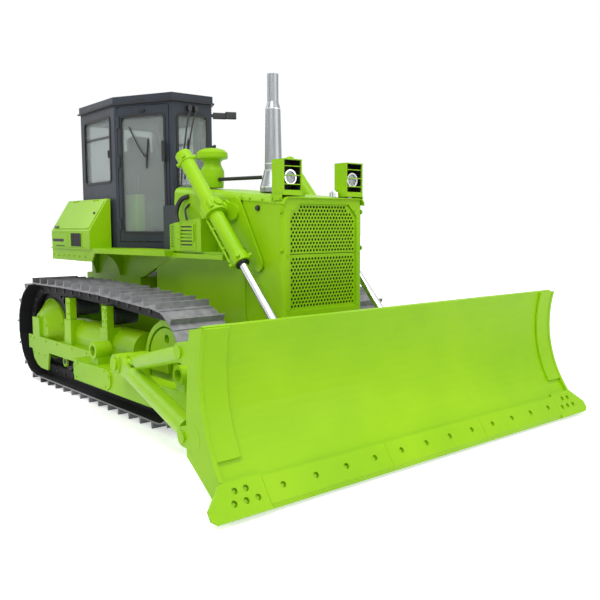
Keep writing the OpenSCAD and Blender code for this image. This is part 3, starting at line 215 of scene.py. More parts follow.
def float_glass(name, tint, rough, clear):
    """Float glass with a film of dust that drifts over 170 mm and greys what is behind it."""
    # The panes are drawn as solids, so the IOR is below that of glass to keep what is behind them in place
    mat, place = blank(name)
    dust = node(mat, "ShaderNodeTexNoise", {"Vector": place, "Scale": per_metre(170), "Detail": 5.0})["Fac"]
    film = {"Value": dust, "To Min": rough, "To Max": rough + 0.05}
    return surface(mat, {
        "Base Color": (*tint, 1), "Transmission Weight": clear, "IOR": 1.12, "Specular IOR Level": 0.6,
        "Roughness": node(mat, "ShaderNodeMapRange", film)["Result"]})


def make_materials(chosen):
    """All materials by short name."""
    return {
        # Sprayed coats: an even colour with wide, soft highlights
        "lime": enamel("sprayed_lime_enamel", chosen.paint_shade, chosen.paint_light, 0.4, 0.06),
        "cab": enamel("sprayed_slate_enamel", srgb("#2b2f36"), srgb("#3a3f48"), 0.42, 0.05),
        # Rolled plate that the ground rubs: dull grey shoes over nearly black links
        "track": track_steel("rolled_track_steel", srgb("#1e1e21"), srgb("#7c7b80"), srgb("#98979b"),
                             0.55, 0.2),
        # Cast in sand: dark, dull and coarse
        "iron": scaled_steel("cast_iron", srgb("#1b1c1f"), srgb("#303135"), 0.6, 0.2, 8),
        # Spun pipe: lines up its length spread the highlight to the sides
        "stack": drawn_metal("spun_stainless_steel", srgb("#777b7e"), srgb("#a8abad"), 0.36, (1, 1, 0.06)),
        # Ground and plated rods: narrow, bright reflections
        "chrome": drawn_metal("ground_chrome", srgb("#b9bdc1"), srgb("#e4e7ea"), 0.14, (1, 1, 1)),
        # Moulded skins: black or dark grey without a clear reflection
        "rubber": moulded("moulded_rubber", srgb("#08080a"), srgb("#121214"), 0.6, 50, 4),
        "plastic": moulded("moulded_black_abs", srgb("#141416"), srgb("#232427"), 0.45, 40, 3.3),
        "vinyl": moulded("stitched_vinyl", srgb("#1d1f22"), srgb("#2d3034"), 0.55, 55, 2),
        # Flat panes: grey and a little dusty in the cab, nearly clear on the lamps
        "glass": float_glass("grey_float_glass", srgb("#cdd4d3"), 0.02, 0.78),
        "lens": float_glass("clear_lamp_glass", srgb("#f4f6f4"), 0.03, 0.92),
        # Plated bolt heads: light grey with a blotched shine
        "bolt": scaled_steel("zinc_plated_steel", srgb("#6d7075"), srgb("#a2a5a9"), 0.4, 0.8, 5),
        # Polished rings: the brightest metal of the machine
        "mirror": drawn_metal("polished_aluminium", srgb("#d0d3d5"), srgb("#f0f2f3"), 0.12, (1, 1, 1)),
        # Blackened fins: a dark ground behind the holes of the grille; the same black paints shade behind the
        # louvres and in the link gaps
        "core": scaled_steel("black_finned_core_and_painted_shade", srgb("#0b0b0c"), srgb("#191a1b"), 0.7, 0.1, 3.3),
    }


MATERIALS = {}
NODE_LOOKS = {
    "lime": [
        "main_frame", "hood_cover", "hood_nose", "radiator_guard", "grille_upper", "grille_lower",
        "headlamps", "precleaner", "louver_box_right", "louver_box_left",
        "cylinder_bracket_right", "cylinder_bracket_left", "fender_right", "fender_left",
        "side_box_right", "side_box_left", "box_lid_right", "box_lid_left", "fuel_tank", "drawbar",
        "console", "track_frame_right", "track_frame_left", "final_drives", "idlers", "push_frame",
        "struts", "braces", "moldboard", "cutting_edge", "end_bits", "lift_barrel_right",
        "lift_barrel_left"],
    "cab": ["cab_shell", "cab_roof", "cab_floor", "door_right", "door_left"],
    "track": ["track_right", "track_left"],
    "iron": ["engine_block", "sprockets", "carrier_rollers", "track_rollers"],
    "stack": ["exhaust_stack"],
    "chrome": ["lift_rod_right", "lift_rod_left"],
    "plastic": ["levers", "cab_mirror"],
    "rubber": ["aspirator_pipe"],
    "vinyl": ["seat"],
    "glass": ["cab_glass", "door_glass_right", "door_glass_left"],
    "lens": ["headlamp_lenses"],
}


# Mesh building

class Piece:
    """Collects solids in one mesh, in the part's millimetres, and turns them into one object."""

    def __init__(self, name, look, body, slot="paint"):
        self.name, self.look, self.body, self.slot = name, look, body, slot
        self.bm = bmesh.new()

    def box(self, low, high):
        """Box between two corners."""
        for vert in bmesh.ops.create_cube(self.bm, size=1)["verts"]:
            vert.co = [(a + b) / 2 + c * (b - a) for a, b, c in zip(low, high, vert.co)]

    def cone(self, start, end, r0, r1=None, sides=24):
        """Cone or cylinder between two points."""
        start, end = Vector(start), Vector(end)
        run = end - start
        turn = Vector((0, 0, 1)).rotation_difference(run.normalized()).to_matrix().to_4x4()
        made = bmesh.ops.create_cone(self.bm, cap_ends=True, segments=sides, radius1=r0,
                                     radius2=r0 if r1 is None else r1, depth=run.length)["verts"]
        place = Matrix.Translation((start + end) / 2) @ turn
        for vert in made:
            vert.co = place @ vert.co

    def bolt(self, foot, out, r, high):
        """Hexagon head on a washer."""
        foot, out = Vector(foot), Vector(out).normalized()
        self.cone(foot, foot + out * high * 0.25, r * 1.35, sides=16)
        self.cone(foot + out * high * 0.2, foot + out * high, r, r * 0.96, sides=6)

    def tube(self, points, r, sides):
        """Hose through points on a smooth curve, in eight steps from each point to the next."""
        steps = 8
        points = [Vector(p) for p in points]
        path = []
        for i in range(len(points) - 1):
            before, a, b, after = (points[max(i - 1, 0)], points[i], points[i + 1],
                                   points[min(i + 2, len(points) - 1)])
            for k in range(steps):
                t = k / steps
                path.append(0.5 * (2 * a + (b - before) * t + (2 * before - 5 * a + 4 * b - after) * t * t
                                   + (3 * a - before - 3 * b + after) * t ** 3))
        path.append(points[-1])
        rings = []
        side = None
        for i, p in enumerate(path):
            run = (path[min(i + 1, len(path) - 1)] - path[max(i - 1, 0)]).normalized()
            side = run.orthogonal() if side is None else side - run * side.dot(run)
            side.normalize()
            up = run.cross(side)
            rings.append([self.bm.verts.new(p + r * (math.cos(a) * side + math.sin(a) * up))
                          for a in (2 * math.pi * k / sides for k in range(sides))])
        for ring, following in zip(rings, rings[1:]):
            for k in range(sides):
                self.bm.faces.new((ring[k], ring[(k + 1) % sides], following[(k + 1) % sides], following[k]))
        self.bm.faces.new(rings[0][::-1])
        self.bm.faces.new(rings[-1])

    def prism(self, outline, low, high, matrix):
        """Outline in u and v, extruded from low to high along w and placed by the matrix."""
        foot = [self.bm.verts.new(matrix @ Vector((u, v, low))) for u, v in outline]
        head = [self.bm.verts.new(matrix @ Vector((u, v, high))) for u, v in outline]
        n = len(outline)
        self.bm.faces.new(foot[::-1])
        self.bm.faces.new(head)
        for k in range(n):
            self.bm.faces.new((foot[k], foot[(k + 1) % n], head[(k + 1) % n], head[k]))

    def band(self, inner, outer, low, high, matrix):
        """Closed band between two outlines with as many points, such as a window seal."""
        rows = [[self.bm.verts.new(matrix @ Vector((u, v, w))) for u, v in line]
                for line, w in ((inner, low), (outer, low), (outer, high), (inner, high))]
        n = len(inner)
        for row, following in zip(rows, rows[1:] + rows[:1]):
            for k in range(n):
                self.bm.faces.new((row[k], row[(k + 1) % n], following[(k + 1) % n], following[k]))

    def make(self, bevel=0.0):
        """Object in metres, riding on its body, with its material."""
        bmesh.ops.recalc_face_normals(self.bm, faces=self.bm.faces)
        for vert in self.bm.verts:
            vert.co = at(*vert.co)
        mesh = bpy.data.meshes.new(self.name)
        self.bm.to_mesh(mesh)
        self.bm.free()
        obj = bpy.data.objects.new(self.name, mesh)
        bpy.context.scene.collection.objects.link(obj)
        obj.data.materials.append(MATERIALS[self.look])
        if bevel:
            edge = obj.modifiers.new("edge", "BEVEL")
            edge.width, edge.segments, edge.limit_method = bevel, 2, "ANGLE"
        # Smooth shading, with edges above 35 degrees kept hard
        mesh.polygons.foreach_set("use_smooth", [True] * len(mesh.polygons))
        mesh.set_sharp_from_angle(angle=math.radians(35))
        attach(obj, self.body)


def rounded(u0, u1, v0, v1, r, steps=6):
    """Outline of a rectangle with round corners."""
    corners = ((u1 - r, v1 - r), (u0 + r, v1 - r), (u0 + r, v0 + r), (u1 - r, v0 + r))
    points = []
    for quarter, (u, v) in enumerate(corners):
        for k in range(steps + 1):
            a = math.radians(90 * quarter + 90 * k / steps)
            points.append((u + r * math.cos(a), v + r * math.sin(a)))
    return points


def circle(u, v, r):
    """Outline of a circle of 24 sides."""
    turns = [2 * math.pi * k / 24 for k in range(24)]
    return [(u + r * math.cos(a), v + r * math.sin(a)) for a in turns]


def axes(u, v, w, foot):
    """Matrix that lays u, v and w along three directions from a foot."""
    return Matrix.Translation(foot) @ Matrix((u, v, w)).transposed().to_4x4()


def wall(a, b):
    """Matrix from u along a wall, v up and w outward, for a wall from a to b of the cab's plan."""
    a, b = Vector((*a, 0)), Vector((*b, 0))
    run = (b - a).normalized()
    return axes(run, (0, 0, 1), (run.y, -run.x, 0), a)


def side_plane(sign, y):
    """Matrix from u forward, v up and w outward, on a plane y out on one side of the machine."""
    return axes((1, 0, 0), (0, 0, 1), (0, sign, 0), (0, sign * y, 0))


def front_plane(x):
    """Matrix from u to the left, v up and w forward, on a plane across the machine."""
    return axes((0, 1, 0), (0, 0, 1), (1, 0, 0), (x, 0, 0))


def on(plane, *spots):
    """Points at u, v and w of a plane."""
    return [plane @ Vector(spot) for spot in spots]


def grown(plan, d):
    """Plan moved outward by d on every side."""
    made = []
    for i, p in enumerate(plan):
        before = (Vector(p) - Vector(plan[i - 1])).normalized()
        after = (Vector(plan[(i + 1) % len(plan)]) - Vector(p)).normalized()
        a, b = Vector((before.y, -before.x)), Vector((after.y, -after.x))
        made.append(tuple(Vector(p) + d * (a + b) / (1 + a.dot(b))))
    return made


def hood_z(x):
    """Height of the hood's top, which falls 140 mm over the 1636 mm to its nose."""
    return 2045 - (x - 440) * 140 / 1636


# Plan of the cab and the walls on its left; the right side is the mirror image
CAB = [(60, -235), (60, 235), (-600, 540), (CAB_REAR_X, 505), (CAB_REAR_X, -505), (-600, -540)]
FRONT = wall(CAB[0], CAB[1])
LEFT_DOOR = wall(CAB[1], CAB[2])
LEFT_SIDE = wall(CAB[2], CAB[3])
REAR = wall(CAB[3], CAB[4])
MIRROR = Matrix.Diagonal((1, -1, 1, 1))
SIDES = (("right", MIRROR, -1), ("left", Matrix.Identity(4), 1))

# Sloped lid of the left side box: u to the rear from its front lower corner, v up the slope
SLOPE = Vector((0, 600 - BOX_Y, 1968 - 1630)).normalized()
LEFT_SLOPE = axes((-1, 0, 0), SLOPE, (0, SLOPE.z, -SLOPE.y), (-680, BOX_Y, 1630))

# Run of a lift cylinder from its trunnion down to the push frame, and the direction across it
BARREL = Vector((1038, 0, -1101)).normalized()
BARREL_UP = Vector((-BARREL.z, 0, BARREL.x))


def on_barrel(sign, t, up, out):
    """Point beside a lift cylinder: t along it from its trunnion, up across it and out from its middle."""
    return Vector((TRUNNION_X, sign * (TRUNNION_Y + out), TRUNNION_Z)) + t * BARREL + up * BARREL_UP


def track_places():
    """Link joints and shoe middles in turn along the track: x, z and outward angle."""
    base, sprocket, idler = 1268.63, 436.594, 406.0
    crown, reach, ground = 27.0, 140.0, 127.157

    def top(x):
        """Height of the chain's upper run, which the carrier rollers lift."""
        t = (x + base) / (2 * base)
        return 2 * sprocket + 2 * (idler - sprocket) * t + 4 * crown * t * (1 - t)

    wheels = [(-base, sprocket, sprocket), (base, idler, idler)]
    wheels += [(x, top(x) - reach, reach) for x in reversed(CARRIER_XS)]
    leaves = []
    for (x0, z0, r0), (x1, z1, r1) in zip(wheels, wheels[1:] + wheels[:1]):
        gap = math.hypot(x1 - x0, z1 - z0)
        angle = math.atan2(z1 - z0, x1 - x0) - math.acos((r0 - r1) / gap)
        leaves.append((angle, math.sqrt(gap ** 2 - (r0 - r1) ** 2)))
    stretches = []
    for i, (angle, run) in enumerate(leaves):
        following = (i + 1) % len(wheels)
        turn = (leaves[following][0] - angle) % (2 * math.pi)
        wheel = wheels[following]
        stretches += [(run, wheels[i], angle, True), (wheel[2] * turn, wheel, angle, False)]
    total = sum(stretch[0] for stretch in stretches)
    places = []
    for k in range(2 * LINKS):
        s = total * k / (2 * LINKS)
        for length, (x, z, r), angle, straight in stretches:
            if s <= length:
                break
            s -= length
        if not straight:
            angle, s = angle + s / r, 0
        places.append((x + r * math.cos(angle) - s * math.sin(angle),
                       z + r * math.sin(angle) + s * math.cos(angle) + ground, angle))
    return places


# Sizes and colours a user would change

class DozerLook(bpy.types.PropertyGroup):
    """Colours and sizes of the dozer's looks."""

    paint_shade: bpy.props.FloatVectorProperty(
        name="Paint shade", description="Darker drift of the paint",
        subtype="COLOR", size=3, min=0.0, max=1.0, default=srgb("#85ba06"))
    paint_light: bpy.props.FloatVectorProperty(
        name="Paint light", description="Lighter drift of the paint",
        subtype="COLOR", size=3, min=0.0, max=1.0, default=srgb("#95c60c"))
    bolt_r: bpy.props.FloatProperty(
        name="Bolt radius", description="Radius of the edge bolts",
        subtype="DISTANCE", unit="LENGTH", min=0.001, default=0.019)
    seal_w: bpy.props.FloatProperty(
        name="Seal width", description="Width of the window seals",
        subtype="DISTANCE", unit="LENGTH", min=0.001, default=0.014)
    hose_r: bpy.props.FloatProperty(
        name="Hose radius", description="Radius of the hydraulic hoses",
        subtype="DISTANCE", unit="LENGTH", min=0.001, default=0.015)


def choices():
    """Sizes and colours in use, with lengths in metres."""
    return bpy.context.scene.dozer_look


class DOZER_OT_paint(bpy.types.Operator):
    """Gives every solid its material"""
    bl_idname = "dozer.paint"
    bl_label = "Paint the solids"

    def execute(self, context):
        MATERIALS.update(make_materials(choices()))
        for look, names in NODE_LOOKS.items():
            for name in names:
                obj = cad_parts[name]
                obj.data.materials.clear()
                obj.data.materials.append(MATERIALS[look])
        return {"FINISHED"}


class DOZER_OT_cab_trim(bpy.types.Operator):
    """Window seals, handles, wipers and roof trim"""
    bl_idname = "dozer.cab_trim"
    bl_label = "Cab trim"

    def execute(self, context):
        width = choices().seal_w * MM
        door_len = (Vector(CAB[2]) - Vector(CAB[1])).length
        side_len = (Vector(CAB[3]) - Vector(CAB[2])).length

        def seal(piece, u0, u1, v0, v1, matrix, hinge=width):
            """Rubber profile that laps 12 mm over the edge of a pane, with its own width at a hinge."""
            lap = 12
            piece.band(rounded(u0 + lap, u1 - lap, v0 + lap, v1 - lap, 34),
                       rounded(u0 - width, u1 + hinge, v0 - width, v1 + width, 45 + hinge), 0.5, 7, matrix)

        seals = Piece("cab_seals", "rubber", TRACTOR, "black_plastic")
        seal(seals, 57, 413, 1700, 2805, FRONT)
        seal(seals, 90, 920, 1990, 2822, REAR)
        for _, flip, _ in SIDES:
            seal(seals, 110, side_len - 100, 2146, 2822, flip @ LEFT_SIDE)
        # Strip round the edge of the roof
        seals.band(grown(CAB, 18), grown(CAB, 27.5), 2924.4, 2939.6, Matrix.Identity(4))
        seals.make()
        wipers = Piece("wipers", "plastic", TRACTOR, "black_plastic")
        for u, foot, head, tip in ((185, 105, 2500, 2080), (262, 150, 2560, 2150)):
            # Motor cover, arm and blade
            wipers.prism(rounded(u - 22, u + 22, 2836, 2892, 8), 0, 46, FRONT)
            wipers.tube(on(FRONT, (u, 2850, 40), ((u + foot) / 2, 2660, 34), (foot, 2320, 16)), 9, 8)
            wipers.tube(on(FRONT, (foot + 28, head, 9), (foot, 2320, 10), (foot - 22, tip, 9)), 9, 6)
        for _, flip, _ in SIDES:
            # Rail and latch of the side window, then the clips under the roof
            side = flip @ LEFT_SIDE
            wipers.prism(rounded(124, side_len - 114, 2612, 2634, 4), -22, -8, side)
            wipers.prism(rounded(150, 172, 2400, 2480, 6), -16, 8, side)
            clips = ((side, side_len * 0.3), (side, side_len * 0.7), (flip @ LEFT_DOOR, door_len * 0.5))
            for plane, u in clips:
                wipers.prism(rounded(u - 45, u + 45, 2958, 2976, 8, 3), 10, 13.5, plane)
        # Small mirror at the front on its arm, and the sleeve of the mirror arm on the left
        wipers.tube([(60, 190, 2290), (92, 215, 2290), (112, 262, 2300), (112, 262, 2440)], 9, 10)
        wipers.prism(rounded(238, 300, 2310, 2450, 28), 112, 128, front_plane(0))
        wipers.prism(rounded(-1, 39, 2786, 2852, 12), 20, 148, LEFT_DOOR)
        wipers.make(bevel=0.002)
        for name, flip, _ in SIDES:
            # The seal is narrower at the hinge, so that it clears the wall as the door opens
            plane = flip @ LEFT_DOOR
            door = Piece("door_seal_" + name, "rubber", "door_" + name, "black_plastic")
            seal(door, 95, door_len - 86, 1612, 2805, plane, hinge=10)
            # Handle, wiper motor cover, wiper arm and wiper blade
            door.prism(rounded(64, 102, 2322, 2528, 14), 30, 52, plane)
            door.prism(rounded(330, 400, 2838, 2862, 10), 0.5, 16, plane)
            door.tube(on(plane, (530, 2690, 4), (440, 2530, 4), (346, 2394, 4), (322, 2410, 4)), 8, 8)
            door.tube(on(plane, (296, 2570, 3), (312, 2420, 3), (326, 2270, 3)), 9, 8)
            door.make()
        return {"FINISHED"}


class DOZER_OT_hood_trim(bpy.types.Operator):
    """Radiator core, painted shade behind the louvres, lamp parts, caps, clamps, louvre frames, cover plates
    and bolts of the hood
    """
    bl_idname = "dozer.hood_trim"
    bl_label = "Hood trim"

    def execute(self, context):
        lamp_z = hood_z(LAMP_X) + 0.3
        lens_z = lamp_z + 142.5
        core = Piece("radiator_core_and_louvre_shade", "core", TRACTOR, "track_steel")
        core.box((1990, -395, 960), (2012, 395, 1860))
        for sign in (-1, 1):
            for k in range(5):
                # Black strips behind the louvres: painted shade in the gaps between the slats
                core.box((818, sign * 617 - 2, 1500 + 40 * k), (1010, sign * 617 + 2, 1516 + 40 * k))
        core.make()
        caps = Piece("radiator_cap", "plastic", TRACTOR, "black_plastic")
        for sign in (-1, 1):
            caps.cone((1750, sign * 439, 1821), (1750, sign * 462, 1821), 24, 20, 20)
        for sign in (-1, 1):
            # Back, sides and top of a lamp's dark lining, and the ring behind its lens
            y, low, high = sign * LAMP_Y, lamp_z + 41, lamp_z + 276
            caps.box((1942.5, y - 86, low), (1944.5, y + 86, high))
            for edge in (y - 86.5, y + 86.5):
                caps.box((1945, edge - 0.8, low), (2066, edge + 0.8, high))
            caps.box((1945, y - 86, high - 1.5), (2066, y + 86, high + 0.5))
            caps.band(circle(y, lens_z, 55.6), circle(y, lens_z, 58), 1946, 2034, front_plane(0))
        caps.make(bevel=0.001)
        bright = Piece("lamp_bezels", "mirror", TRACTOR, "bright_steel")
        for sign in (-1, 1):
            y = sign * LAMP_Y
            bright.band(circle(y, lens_z, 49), circle(y, lens_z, 62), 2032, 2053, front_plane(0))
        # Radiator filler
        top = hood_z(1975)
        bright.cone((1975, 205, top), (1975, 205, top + 42), 44, 42, 28)
        bright.cone((1975, 205, top + 40), (1975, 205, top + 54), 34, 26, 28)
        # Rings of the exhaust stack
        base = hood_z(1275) + 0.3
        for low, high, r in ((36, 48, 123), (186, 196, 84), (244, 254, 79), (724, 732, 68)):
            bright.cone((1395, 0, base + low), (1395, 0, base + high), r, sides=48)
        # Clamps of the dust ejector pipe
        clamp_z = hood_z(640) + 85
        bright.cone((755, -127, clamp_z), (775, -123, clamp_z), 21, sides=20)
        bright.cone((1262, -9, clamp_z), (1284, -5, clamp_z), 22, sides=20)
        bright.make(bevel=0.001)
        bowls = Piece("lamp_bowls", "stack", TRACTOR, "bright_steel")
        for sign in (-1, 1):
            bowls.prism(circle(sign * LAMP_Y, lens_z, 49.5), 2035.05, 2035.2, front_plane(0))
        bowls.make()
        bolts = Piece("hood_bolts", "lime", TRACTOR)
        for sign in (-1, 1):
            out = (0, sign, 0)
            for x in (1530, 1640, 1810, 1980):
                bolts.bolt((x, sign * 446.5, hood_z(x) - 38), out, 9, 7)
            for x in (480, 900, 1200, 1440):
                bolts.bolt((x, sign * 446.5, hood_z(x) - 140), out, 9, 7)
            # Lamp bracket
            for x in (1950, 2050):
                bolts.bolt((x, sign * 452, lamp_z - 22), out, 11, 8)
            bolts.box((1935, sign * 444, lamp_z - 42), (2070, sign * 452, lamp_z + 8))
            # Frames, grip and bolts of the louvred box
            plane = side_plane(sign, 620)
            bolts.band(rounded(808, 1068, 1470, 1716, 16), rounded(800, 1076, 1462, 1724, 20), -0.5, 5, plane)
            bolts.band(rounded(816, 1012, 1492, 1696, 8), rounded(808, 1020, 1484, 1704, 12), -0.5, 3, plane)
            bolts.prism(rounded(1034, 1052, 1540, 1690, 6), 0, 12, plane)
            for z in (1560, 1620):
                bolts.bolt((768, sign * 619.5, z), out, 7, 6)
            # Plates beside the cowl and over the slot behind the radiator guard
            for x0, x1, y0, y1, z0, z1 in ((40, 446, 404, 436, 620, 1418), (1488, 1565, 438, 449, 650, 1640)):
                bolts.box((x0, min(sign * y0, sign * y1), z0), (x1, max(sign * y0, sign * y1), z1))
            # Bolts of the radiator guard, at its front and sides
            for y, z in ((345, 1800), (398, 1440), (398, 1000)):
                bolts.bolt((2075.5, sign * y, z), (1, 0, 0), 9, 7)
            for z in (1790, 1480):
                bolts.bolt((2050, sign * 438, z), out, 16, 16)
        bolts.make()
        return {"FINISHED"}


class DOZER_OT_hydraulics(bpy.types.Operator):
    """Hoses, cylinder pipes, gland lugs and rod wipers"""
    bl_idname = "dozer.hydraulics"
    bl_label = "Hydraulic lines"

    def execute(self, context):
        hose = choices().hose_r * MM
        thick = ((655, 545, 1702), (600, 532, 1770), (588, 512, 1850), (625, 485, 1925), (690, 446, 1950))
        thin = ((700, 446, 1880), (690, 480, 1840), (735, 515, 1800), (790, 530, 1712))
        pipe = ((60, -40, 40), (70, -62, 62), (120, -62, 62), (470, -62, 62), (540, -60, 60), (560, -40, 40))
        for name, flip, sign in SIDES:
            lines = Piece("engine_hose_" + name, "rubber", TRACTOR, "black_plastic")
            lines.tube(on(flip, *thick), hose * 1.5, 14)
            lines.tube(on(flip, *thin), hose * 0.7, 10)
            lines.make()
            fittings = Piece("cylinder_pipe_" + name, "lime", "lift_barrel_" + name)
            fittings.tube([on_barrel(sign, *spot) for spot in pipe], 10, 10)
            # Pipe clips, then the lugs round the gland and the upper end
            for t in (180, 400):
                fittings.cone(on_barrel(sign, t, -40, 40), on_barrel(sign, t, -68, 68), 14, 14, 10)
            for t, reach in ((575, 104), (-600, 96)):
                for k in range(4):
                    a = math.pi * (0.25 + k / 2)
                    fittings.cone(on_barrel(sign, t, 50 * math.sin(a), 50 * math.cos(a)),
                                  on_barrel(sign, t, reach * math.sin(a), reach * math.cos(a)), 20, 17, 14)
            # Bolts and boss at the trunnion
            for up in (-70, 70):
                fittings.cone(on_barrel(sign, -40, up, 62), on_barrel(sign, 40, up, 62), 24, 24, 14)
            fittings.cone(on_barrel(sign, 0, 60, 0), on_barrel(sign, 0, 112, 0), 40, 36, 20)
            fittings.make(bevel=0.002)
            wiper = Piece("rod_wiper_" + name, "rubber", "lift_barrel_" + name, "black_plastic")
            round_rod = axes(BARREL_UP, (0, sign, 0), BARREL, on_barrel(sign, 0, 0, 0))
            wiper.band(circle(0, 0, 35.5), circle(0, 0, 58), 609.5, 622, round_rod)
            wiper.make()
        return {"FINISHED"}


class DOZER_OT_track_trim(bpy.types.Operator):
    """Link pins, painted shade of the link gaps, shoe bolts, roller caps and the bolts of covers, posts and
    arms
    """
    bl_idname = "dozer.track_trim"
    bl_label = "Undercarriage trim"

    def execute(self, context):
        pins = Piece("link_pins", "iron", TRACTOR, "track_steel")
        painted_gap_shade = Piece("link_painted_gap_shade", "core", TRACTOR, "track_steel")
        heads = Piece("shoe_bolts", "bolt", TRACTOR, "track_steel")
        for k, (x, z, angle) in enumerate(track_places()):
            out = Vector((math.cos(angle), 0, math.sin(angle)))
            run = Vector((-math.sin(angle), 0, math.cos(angle)))
            for sign in (-1, 1):
                if k % 2 == 0:
                    for y0, y1 in ((1054, 1064), (826, 816)):
                        pins.cone((x, sign * y0, z), (x, sign * y1, z), 26, 22, 12)
                    continue
                # Flat black patches on both faces of the links, midway between the pins: painted shade of the
                # gaps in the chain
                for y in (1055.6, 824.4):
                    spot = Vector((x, sign * y, z)) + 8 * out
                    painted_gap_shade.prism(rounded(-34, 34, -20, 20, 18, 3), -0.8, 0.8, axes(run, out, (0, 1, 0), spot))
                for y in (858, 912, 968, 1022):
                    foot = Vector((x, sign * y, z)) + 73.5 * out + 38 * run
                    heads.cone(foot, foot + 9 * out, 13, 12, 6)
        pins.make()
        painted_gap_shade.make()
        heads.make()
        bolts = Piece("frame_bolts", "lime", TRACTOR)
        dark = Piece("roller_caps", "iron", TRACTOR, "track_steel")
        for sign in (-1, 1):
            out = (0, sign, 0)
            # Two rings of bolts on the final drive's cover
            for count, first, ring, y, r, high in ((12, 15, 305, 1011, 13, 12), (8, 22.5, 155, 1136, 12, 10)):
                for k in range(count):
                    a = math.radians(first + 360 / count * k)
                    spot = (SPROCKET_X + ring * math.cos(a), sign * y, SPROCKET_Z + ring * math.sin(a))
                    bolts.bolt(spot, out, r, high)
            # Posts of the carrier rollers
            for x in CARRIER_XS:
                for dx in (-30, 30):
                    for z in (800, 905):
                        bolts.bolt((x + dx, sign * 1129.5, z), out, 11, 9)
                bolts.cone((x, sign * 1129, 860), (x, sign * 1137, 860), 30, 27, 20)
            # Outer guard
            for x in (-1520, -1420, -1080, -780, -400, -60):
                bolts.bolt((x, sign * 1164.5, 460), out, 10, 8)
            for x in (-1420, -1300, -1120):
                bolts.bolt((x, sign * 1164.5, 300), out, 10, 8)
            # Track rollers and idler
            for i in range(6):
                x = -737 + 308.5 * i
                bolts.cone((x, sign * 1087.5, ROLLER_Z), (x, sign * 1104, ROLLER_Z), 56, 50, 24)
                dark.cone((x, sign * 1103.5, ROLLER_Z), (x, sign * 1106, ROLLER_Z), 27, 27, 18)
            dark.cone((-SPROCKET_X, sign * 1044, 533), (-SPROCKET_X, sign * 1059, 533), 34, 30, 20)
        bolts.make()
        dark.make()
        arms = Piece("arm_bolts", "lime", BLADE)
        for sign in (-1, 1):
            for x, z in ((270, 318), (235, 418), (860, 318), (925, 418), (300, 452), (840, 452)):
                arms.bolt((x, sign * 1413.5, z), (0, sign, 0), 9, 7)
        arms.make()
        return {"FINISHED"}


class DOZER_OT_box_trim(bpy.types.Operator):
    """Vents, painted shade in the slots, frames, deck lip and latches of the side boxes"""
    bl_idname = "dozer.box_trim"
    bl_label = "Side box trim"

    def execute(self, context):
        vents_and_slot_shade = Piece("box_vents_and_slot_shade", "rubber", TRACTOR, "black_plastic")
        frames = Piece("box_frames", "lime", TRACTOR)
        for name, flip, sign in SIDES:
            plane = side_plane(sign, BOX_Y)
            opening = rounded(-1150, -880, 1462, 1606, 6)
            vents_and_slot_shade.prism(opening, -2, 1.6, plane)
            for k in range(6):
                vents_and_slot_shade.prism(rounded(-1138 + 44 * k, -1120 + 44 * k, 1470, 1598, 3, 2), 1, 5, plane)
            # Flat black sheets where the two slots are: painted shade of the openings
            vents_and_slot_shade.prism(rounded(-1650, -1350, 1510, 1542, 5), -2, 1.6, plane)
            vents_and_slot_shade.prism(rounded(-1560, -1330, 1462, 1470, 3, 2), -2, 1.6, plane)
            frames.band(opening, rounded(-1162, -868, 1452, 1618, 12), -1, 6, plane)
            frames.band(rounded(-1662, -1240, 1482, 1612, 8), rounded(-1670, -1232, 1474, 1620, 12), -1, 3,
                        plane)
            # Lip of the deck and the bolts below it
            frames.box((-1680, min(sign * 813, sign * 832), 1436), (-642, max(sign * 813, sign * 832), 1449))
            for x in (-1640, -1500, -1360, -1220, -1080, -940, -800):
                frames.bolt((x, sign * 814.5, 1360), (0, sign, 0), 10, 8)
            latch = Piece("lid_latch_" + name, "plastic", "box_lid_" + name, "black_plastic")
            slope = flip @ LEFT_SLOPE
            latch.prism(circle(95, 215, 13), 8, 22, slope)
            latch.prism(rounded(820, 930, 34, 50, 8), 8, 24, slope)
            latch.make(bevel=0.002)
        vents_and_slot_shade.make()
        frames.make()
        return {"FINISHED"}


class DOZER_OT_rear_trim(bpy.types.Operator):
    """Tank covers, work lamps and grab rails at the rear"""
    bl_idname = "dozer.rear_trim"
    bl_label = "Rear trim"

    def execute(self, context):
        covers = Piece("tank_covers", "lime", TRACTOR)
        for low, high in ((1300, 1560), (1620, 1860)):
            covers.prism(rounded(-400, 400, low, high, 30), -6, 1, front_plane(-1880))
            for y in (-370, -125, 125, 370):
                for z in (low + 28, high - 28):
                    covers.bolt((-1885.5, y, z), (-1, 0, 0), 10, 8)
        covers.make(bevel=0.002)
        rails = Piece("rear_rails", "plastic", TRACTOR, "black_plastic")
        glasses = Piece("rear_lamp_glass", "lens", TRACTOR, "glass")
        rail = ((-1493, 468, 2000), (-1538, 468, 2030), (-1538, 468, 2380), (-1538, 468, 2730),
                (-1493, 468, 2760))
        rear = front_plane(CAB_REAR_X)
        for _, flip, sign in SIDES:
            y = sign * 360
            rails.tube(on(flip, *rail), 13, 12)
            rails.prism(rounded(y - 70, y + 70, 2846, 2906, 12), -45, 0, rear)
            glasses.prism(rounded(y - 60, y + 60, 2854, 2898, 8), -47, -44, rear)
        rails.make(bevel=0.002)
        glasses.make()
        return {"FINISHED"}


